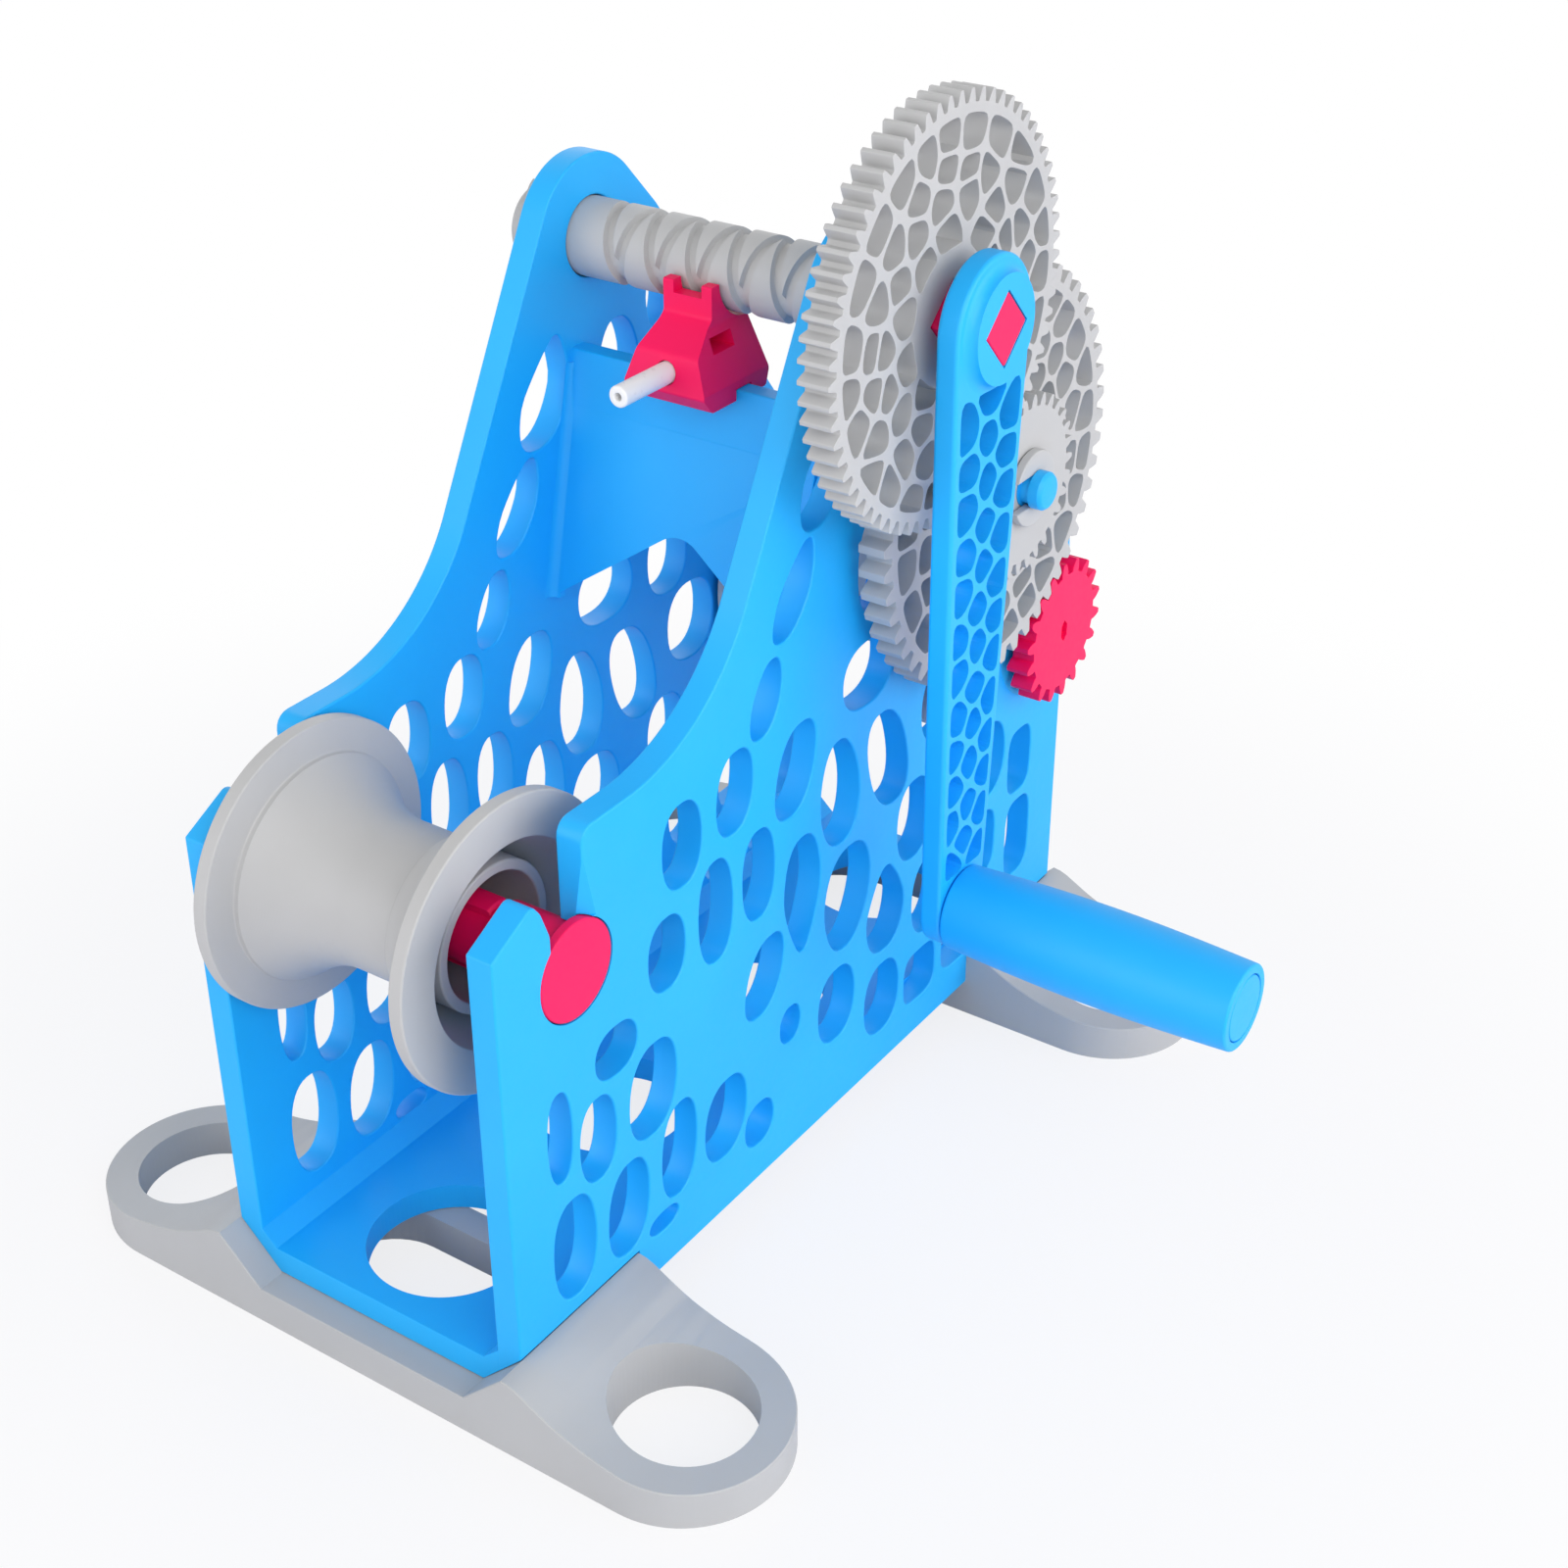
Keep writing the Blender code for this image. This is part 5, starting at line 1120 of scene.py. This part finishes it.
# Crank: square shaft, open arm, pin and grip
crankSizes = {"slitStart": 0.0108, "slitEnd": 0.0195, "slitHalf": 0.0007, "slitDepth": 0.0015,
              "shaftChamfer": 0.0008, "armThickness": 0.0065, "bossRadius": 0.0142,
              "bossFillet": 0.0030, "bossShare": 0.6, "bossStep": 0.0006, "headRadius": 0.0185,
              "tailRadius": 0.0118, "border": 0.0026, "holeMargin": 0.0012, "holeRows": 12,
              "holeSeed": 21, "columnShare": 0.66, "wobbleShare": 0.10, "zigzagShare": 0.25,
              "driftShare": 0.14, "outerEdge": 0.0012, "gripEnd": 0.0124, "gripBelly": 0.0138,
              "gripRim": 0.0030, "gripRound": 0.0009, "gripInnerRound": 0.0003,
              "pinRadius": 0.0045, "pinRound": 0.0004, "discThickness": 0.0022,
              "discInnerRound": 0.0002}
armTaper = (crankSizes["headRadius"] - crankSizes["tailRadius"]) / crankReach
armLean = asin(armTaper)


def armPlace(along, across):
    # a place on the arm from distances down it and to its rear side
    return (screwAxis[0] - along * sin(crankLean) + across * cos(crankLean),
            screwAxis[1] - along * cos(crankLean) - across * sin(crankLean))


def armCells():
    sizes = crankSizes
    rng = random.Random(sizes["holeSeed"])
    start = sizes["bossRadius"] + sizes["holeMargin"]
    end = crankReach - sizes["gripEnd"] - sizes["holeMargin"]
    step = (end - start) / sizes["holeRows"]
    seeds = []
    for row in range(sizes["holeRows"]):
        along = start + (row + 0.5) * step
        half = (sizes["headRadius"] - armTaper * along) / cos(armLean) - sizes["border"]
        for column in (-1, 0, 1):
            across = half * (column * sizes["columnShare"]
                             + rng.uniform(-sizes["wobbleShare"], sizes["wobbleShare"]))
            drift = step * (sizes["zigzagShare"] * (1 if column else -1)
                            + rng.uniform(-sizes["driftShare"], sizes["driftShare"]))
            seeds.append((along + drift, across))
    edge = (sizes["headRadius"] - sizes["border"]) / cos(armLean)
    limits = [underLine(0, edge, sin(armLean), cos(armLean)),
              underLine(0, -edge, sin(armLean), -cos(armLean)),
              underLine(sizes["bossRadius"] + sizes["bossFillet"] * sizes["bossShare"], 0, -1, 0),
              underLine(crankReach - sizes["gripEnd"], 0, 1, 0)]
    cells = cellOutlines(seeds, gearSizes["web"] / 2, limits)
    return [[armPlace(a, b) for a, b in cell] for cell in cells]


def makeArm():
    sizes = crankSizes
    low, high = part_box("crank_arm")
    face = low.x + sizes["armThickness"]
    down, quarter = -pi / 2 - crankLean, pi / 2
    outline = arc(handleAxis, sizes["tailRadius"], down - quarter + armLean,
                  down + quarter - armLean, 32)
    outline += arc(screwAxis, sizes["headRadius"], down + quarter - armLean,
                   down + 3 * quarter + armLean, 60)
    piece = slab("blue_crank_arm", [outline], low.x, face, "side", sizes["outerEdge"], 4)
    radius, fillet = sizes["bossRadius"], sizes["bossFillet"]
    profile = [(low.x + overrun, 0), (low.x + overrun, radius + fillet)]
    profile += [(face - general["merge"] + rise, radius + out)
                for rise, out in cove(fillet, fillet, 8)]
    profile += [(high.x, radius - sizes["bossStep"]), (high.x, 0)]
    join(piece, turned("arm_boss", profile, screwAxis, 96))
    for hole in armCells() + [squareOutline(squareSide + 2 * seam),
                              circle(handleAxis, sizes["pinRadius"] + seam, 64)]:
        cutThrough(piece, hole, low.x, high.x)
    return piece


def makeSquareShaft():
    # a square bar on its corner with a slit in its lower front face
    sizes = crankSizes
    low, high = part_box("square_shaft")
    piece = slab("red_square_shaft", [squareOutline(squareSide, sizes["shaftChamfer"])], low.x,
                 high.x, "side", general["edge"])
    face = radians(-135) - crankLean
    out, across = (cos(face), sin(face)), (-sin(face), cos(face))
    inner, outer = squareSide / 2 - sizes["slitDepth"], squareSide / 2 + overrun
    corners = [(screwAxis[0] + reach * out[0] + way * sizes["slitHalf"] * across[0],
                screwAxis[1] + reach * out[1] + way * sizes["slitHalf"] * across[1])
               for reach, way in ((inner, -1), (outer, -1), (outer, 1), (inner, 1))]
    return cut(piece, slab("shaft_slit", [corners], low.x + sizes["slitStart"],
                           low.x + sizes["slitEnd"], "side"))


def makePin():
    sizes = crankSizes
    low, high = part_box("handle_pin")
    disc, radius = sizes["gripEnd"] - sizes["gripRim"], sizes["pinRadius"]
    shelf = high.x - sizes["discThickness"]
    profile = softCorners([
        (low.x, 0, 0), (low.x, radius, sizes["pinRound"]), (shelf, radius, 0),
        (shelf, disc, sizes["discInnerRound"]), (high.x, disc, general["edge"]), (high.x, 0, 0)], 3)
    return turned("blue_handle_pin", profile, handleAxis, 80)


def makeGrip():
    sizes = crankSizes
    low, high = [corner.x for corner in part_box("handle_grip")]
    bore = sizes["pinRadius"] + play
    disc = sizes["gripEnd"] - sizes["gripRim"] + play
    shelf = high - sizes["discThickness"] - seam
    barrel = [(low, bore, 0)]
    for i in range(25):
        share = i / 24
        belly = sin(pi * share) * (sizes["gripBelly"] - sizes["gripEnd"])
        soft = sizes["gripRound"] if i in (0, 24) else 0
        barrel.append((low + share * (high - low), sizes["gripEnd"] + belly, soft))
    barrel += [(high, disc, sizes["gripInnerRound"]), (shelf, disc, 0), (shelf, bore, 0)]
    return turned("blue_handle_grip", softCorners(barrel, 5), handleAxis, 112)


dress(makeArm(), blueCrank, "crank", "blue", "crank_arm")
dress(makeSquareShaft(), redTurned, "crank", "red", "square_shaft")
dress(makePin(), blueCrank, "crank", "blue", "handle_pin")
dress(makeGrip(), blueCrank, "grip", "blue", "handle_grip")
print("crank made")

# Guide that rides on the screw and the panel's rail
guideSizes = {"headHalf": 0.0078, "flareHalf": 0.0130, "prongWidth": 0.0033, "headTop": 0.2605,
              "notch": 0.2570, "waist": 0.2500, "flare": 0.2350, "bottom": 0.2297, "noseY": 0.1362,
              "noseZ": 0.2340, "chinY": 0.1400, "browY": 0.1380, "browZ": 0.2440, "neckY": 0.1455,
              "prong": 0.0034, "backY": 0.1660, "backZ": 0.2340, "shoulderY": 0.1632,
              "heelY": 0.1646, "arcGap": 0.0008, "windowLow": 0.2435, "windowHigh": 0.2478,
              "windowFront": 0.1450, "windowRear": 0.1545, "windowDepth": 0.0055, "edge": 0.0004,
              "heelRound": 0.0008, "backRound": 0.0012, "topRound": 0.0006, "neckRound": 0.002,
              "browRound": 0.003, "flareRound": 0.001, "tubeRadius": 0.0030, "tubeBore": 0.0011,
              "tubeZ": 0.2390, "tubeSeat": 0.0060, "tubeRounds": (0.0003, 0.0006, 0.0002),
              "pawlRadius": 0.0022, "pawlTip": 0.0005, "pawlReach": 0.0005, "pawlLength": 0.0062,
              "pawlTipLength": 0.0018, "pawlTipRound": 0.0001, "pawlRound": 0.0003}


def cutBlock(piece, low, high):
    outline = [(low[1], low[2]), (high[1], low[2]), (high[1], high[2]), (low[1], high[2])]
    cut(piece, slab("block", [outline], low[0], high[0], "side"))


def makeGuide():
    sizes = guideSizes
    bottom, waist, headTop = sizes["bottom"], sizes["waist"], sizes["headTop"]
    heelRound, browRound = sizes["heelRound"], sizes["browRound"]
    nose, back = fromFront(sizes["noseY"]), fromFront(sizes["backY"])
    hugRadius = screwRadius + sizes["arcGap"]
    top = pi + asin((screwAxis[1] - headTop) / hugRadius)
    hug = arc(screwAxis, hugRadius, top, 3 * pi / 2, 24)
    front = hug[0][0] - sizes["prong"]
    points = [(fromFront(sizes["chinY"]), bottom, heelRound),
              (fromFront(sizes["heelY"]), bottom, heelRound),
              (back, sizes["backZ"], sizes["backRound"]),
              (fromFront(sizes["shoulderY"]), hug[-1][1], heelRound), *sharp(reversed(hug)),
              (front, headTop, sizes["topRound"]),
              (front, waist + sizes["prong"] / 2, sizes["neckRound"]),
              (fromFront(sizes["neckY"]), waist, browRound),
              (fromFront(sizes["browY"]), sizes["browZ"], browRound),
              (nose, sizes["noseZ"], sizes["backRound"])]
    piece = slab("red_guide", [softCorners(points, 4)], guideLow.x - overrun, guideHigh.x + overrun,
                 "side")
    right = [(sizes["flareHalf"], bottom, 0), (sizes["flareHalf"], sizes["flare"], sizes["flareRound"]),
             (sizes["headHalf"], waist, browRound), (sizes["headHalf"], headTop, 0)]
    left = mirrored(right)
    face = [(a + guideX, b, r) for a, b, r in left[-1:] + right + left[:-1]]
    keepInside(piece, slab("guide_face", [softCorners(face, 4)], nose - overrun, back + overrun,
                           "front"))
    notchHalf = sizes["headHalf"] - sizes["prongWidth"]
    cutBlock(piece, (guideX - notchHalf, nose, sizes["notch"]),
             (guideX + notchHalf, back, headTop + overrun))
    railAt = panel["topAlong"] - (panel["top"] - bottom) * (
        panel["topAlong"] - panel["creaseAlong"]) / (panel["top"] - panel["crease"])
    cutBlock(piece, (guideLow.x - overrun, fromFront(railAt) - play, bottom - overrun),
             (guideHigh.x + overrun, fromFront(panel["topAlong"] + panel["thickness"]) + play,
              panel["top"] + seam))
    cutBlock(piece, (guideX + sizes["headHalf"] - sizes["windowDepth"],
                     fromFront(sizes["windowFront"]), sizes["windowLow"]),
             (guideX + sizes["flareHalf"] + overrun, fromFront(sizes["windowRear"]),
              sizes["windowHigh"]))
    roundEdges(piece, sizes["edge"])
    tubeBack = fromFront(sizes["noseY"] + sizes["tubeSeat"])
    return cut(piece, slab("tube_hole", [circle((guideX, sizes["tubeZ"]), sizes["tubeRadius"] + seam,
                                                48)], nose - overrun, tubeBack + seam, "front"))


def makeTube():
    sizes = guideSizes
    low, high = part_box("guide_tube")
    bore, radius, (boreRound, frontRound, backRound) = [
        sizes[key] for key in ("tubeBore", "tubeRadius", "tubeRounds")]
    profile = softCorners([(low.y, bore, boreRound), (low.y, radius, frontRound),
                           (high.y, radius, backRound), (high.y, bore, 0)], 4)
    return transformed(turned("white_guide_tube", profile, (0, 0), 56),
                       Matrix.Rotation(pi / 2, 4, "Z"),
                       Matrix.Translation((guideX, 0, sizes["tubeZ"])))


def makePawl():
    sizes = guideSizes
    soft, radius, point = sizes["pawlRound"], sizes["pawlRadius"], sizes["pawlTip"]
    tip = -(screwRadius - sizes["pawlReach"])
    neck = tip - sizes["pawlTipLength"]
    end = neck - sizes["pawlLength"]
    profile = softCorners([
        (tip, 0, 0), (tip, point, sizes["pawlTipRound"]), (neck, point, 0), (neck, radius, soft),
        (end, radius, soft), (end, 0, 0)], 2)
    return transformed(turned("red_pawl", profile, (0, 0), 32), Matrix.Rotation(pi / 2, 4, "Z"),
                       Matrix.Rotation(screw["pawlAngle"] - pi, 4, "X"),
                       Matrix.Translation((guideX, *screwAxis)))


dress(makeGuide(), redGuide, "guide", "red", "guide_carriage")
dress(makePawl(), redGuide, "guide", "red", "guide_pawl")
dress(makeTube(), whiteTube, "guide", "white", "guide_tube")
print("guide made")

# Snap clips on the far ends of the screw and the front shaft: two arms with barbs at the mouth,
# joined by an arch between two feet, thin half way up and deep where the fingers press
clipSizes = {"depth": 0.0110, "screwOuter": 0.0165, "shaftOuter": 0.0190, "mouth": radians(34),
             "barb": 0.0009, "barbRise": 0.0013, "barbRound": 0.0002, "tipSlope": 0.0012,
             "footAngle": radians(38), "footReach": 0.0190, "footSlope": 0.0004,
             "arch": 0.0024, "soft": 0.0005, "backRound": 0.004, "shaftTurn": radians(15),
             "edge": 0.0004}
footTipShares = (0.60, 0.44)
clipBackShares = ((-1.16, 0.45), (-1.02, 0.80), (-0.85, 0.97), (-0.68, 1.0), (-0.45, 0.86),
                  (-0.25, 0.56), (-0.05, 0.34), (0.25, 0.25), (0.60, 0.36), (0.85, 0.52), (1.05, 0.60))


def clipHalf(outer, bore):
    # rear half of the outline, from the end of the bore over the tip to the foot
    sizes = clipSizes
    soft, reach = sizes["soft"], sizes["footReach"]
    half, rise = bore * sin(sizes["mouth"]), bore * cos(sizes["mouth"])
    tip = half + sizes["tipSlope"]
    return [(half, rise, sizes["barbRound"]), (half - sizes["barb"], rise + sizes["barbRise"], soft),
            (half, sqrt(outer * outer - tip * tip) + sizes["tipSlope"] / 2, soft),
            *sharp(arc((0, 0), outer, acos(tip / outer), sizes["footAngle"] - pi / 2, 40)),
            (outer * footTipShares[0], sizes["footSlope"] - reach, soft),
            (outer * footTipShares[1], -reach, soft)]


def clipOutline(outer, bore):
    sizes = clipSizes
    rear = clipHalf(outer, bore)
    notch = sizes["footReach"] - bore - sizes["arch"]
    arch = arc((0, -sizes["footReach"]), notch, 0, pi, 24)
    inner = arc((0, 0), bore, pi / 2 + sizes["mouth"], 5 * pi / 2 - sizes["mouth"], 48)
    return softCorners(rear + sharp(arch) + mirrored(rear) + sharp(inner[1:-1]), 3)


def makeClip(node, axis, outer, bore, turn):
    sizes = clipSizes
    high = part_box(node)[1].x
    piece = slab("grey_" + node, [clipOutline(outer, bore)], high - sizes["depth"], high, "side",
                 sizes["edge"])
    back = [(high - sizes["depth"] * deep, outer * up, sizes["backRound"])
            for up, deep in clipBackShares]
    front = [(high + overrun, back[-1][1], 0), (high + overrun, back[0][1], 0)]
    keepInside(piece, slab("clip_back", [softCorners(back + front, 4)], -2 * outer, 2 * outer,
                           "front"))
    return transformed(piece, Matrix.Rotation(turn, 4, "X"), Matrix.Translation((0, *axis)))


dress(makeClip("screw_clip", screwAxis, clipSizes["screwOuter"], screwRadius + play, 0),
      greyTurned, "screw_keeper", "grey", "screw_clip")
dress(makeClip("shaft_clip", frontAxis, clipSizes["shaftOuter"], shaftSizes["core"] + play,
               clipSizes["shaftTurn"]), greyTurned, "shaft_keeper", "grey", "shaft_clip")
print("clips made")

# Pale floor and studio light: white where the floor runs out of sight, soft shadows by the feet
studio = {"floorHalf": 8.0, "floorColour": (0.80, 0.80, 0.86), "floorRoughness": 0.6,
          "nearWhite": 0.80, "nearReach": 0.20, "farReach": 0.44, "horizonLight": 0.95,
          "zenithLight": 0.50, "skyColour": (0.98, 0.985, 1.0), "white": (1, 1, 1, 1),
          "aimHeight": 0.12}


def makeFloorSurface():
    # lit plastic near the part, plain white further out where the camera sees it
    surface, tree, shader = addSurface("studio_floor_white")
    feed(tree, shader, {"Base Color": (*studio["floorColour"], 1),
                        "Roughness": studio["floorRoughness"]})
    glow = addNode(tree, "Emission", {"Color": studio["white"], "Strength": 1.0})
    place = addNode(tree, "TexCoord", {})
    away = addNode(tree, "VectorMath", {
        0: place.outputs["Object"], 1: (0, fromFront(frameLength / 2), 0)})
    away.operation = "DISTANCE"
    white = addNode(tree, "MapRange", {
        "From Min": studio["nearReach"], "From Max": studio["farReach"],
        "To Min": studio["nearWhite"], "To Max": 1.0, "Value": away.outputs["Value"]})
    white.interpolation_type = "SMOOTHSTEP"
    path = addNode(tree, "LightPath", {})
    share = addNode(tree, "Math", {0: path.outputs["Is Camera Ray"], 1: white.outputs["Result"]})
    share.operation = "MULTIPLY"
    mix = addNode(tree, "MixShader", {
        "Fac": share.outputs["Value"], 1: shader.outputs["BSDF"], 2: glow.outputs["Emission"]})
    feed(tree, tree.nodes["Material Output"], {"Surface": mix.outputs["Shader"]})
    return surface


def makeSky():
    # brighter at the horizon than overhead, and plain white where the camera sees it
    world = bpy.data.worlds.new("studio_world")
    bpy.context.scene.world = world
    world.use_nodes = True
    tree = world.node_tree
    place = addNode(tree, "TexCoord", {})
    parts = addNode(tree, "SeparateXYZ", {"Vector": place.outputs["Generated"]})
    rise = addNode(tree, "MapRange", {
        "From Min": 0.0, "From Max": 1.0, "To Min": studio["horizonLight"],
        "To Max": studio["zenithLight"], "Value": parts.outputs["Z"]})
    sky = feed(tree, tree.nodes["Background"], {
        "Color": (*studio["skyColour"], 1), "Strength": rise.outputs["Result"]})
    white = addNode(tree, "Background", {"Color": studio["white"], "Strength": 1.0})
    path = addNode(tree, "LightPath", {})
    mix = addNode(tree, "MixShader", {
        "Fac": path.outputs["Is Camera Ray"], 1: sky.outputs["Background"],
        2: white.outputs["Background"]})
    feed(tree, tree.nodes["World Output"], {"Surface": mix.outputs["Shader"]})


def makeStudio():
    mesh = bpy.data.meshes.new("studio_floor")
    half = studio["floorHalf"]
    mesh.from_pydata([(-half, -half, 0), (half, -half, 0), (half, half, 0), (-half, half, 0)], [],
                     [(0, 1, 2, 3)])
    floor = addObject("studio_floor", mesh)
    mesh.materials.append(makeFloorSurface())
    makeSky()


lamps = {
    # name: (place, watts, size, colour)
    "key": ((1.0, -0.50, 0.85), 7.0, 0.9, (1.0, 0.99, 0.97)),
    "side": ((1.6, 0.60, 0.45), 12.0, 1.4, (0.98, 0.98, 1.0)),
    "front": ((-0.6, -1.46, 0.55), 7.0, 1.2, (1.0, 1.0, 1.0)),
    "back": ((-1.3, 1.20, 0.60), 6.0, 1.4, (1.0, 1.0, 1.0)),
}


def makeLamps():
    middle = Vector((0, fromFront(frameLength / 2), studio["aimHeight"]))
    for name, (place, watts, size, colour) in lamps.items():
        light = bpy.data.lights.new(name, "AREA")
        light.energy, light.size, light.color = watts, size, colour
        lamp = addObject(name, light)
        lamp.location = (place[0], fromFront(place[1]), place[2])
        lamp.rotation_euler = (middle - lamp.location).to_track_quat("-Z", "Y").to_euler()


view = {"side": 0.36386, "front": 0.34197, "height": 0.47128, "tilt": 59.23, "turn": 34.18,
        "lens": 55.7, "sensor": 36.0, "near": 0.01, "far": 50}


def makeCamera():
    data = bpy.data.cameras.new("photo_camera")
    data.lens, data.sensor_width = view["lens"], view["sensor"]
    data.clip_start, data.clip_end = view["near"], view["far"]
    camera = addObject("photo_camera", data)
    camera.location = (view["side"], fromFront(-view["front"]), view["height"])
    camera.rotation_euler = (radians(view["tilt"]), 0, radians(view["turn"]))
    bpy.context.scene.camera = camera


makeStudio()
makeLamps()
makeCamera()
bpy.context.scene.view_settings.view_transform = "Standard"
print("studio made")
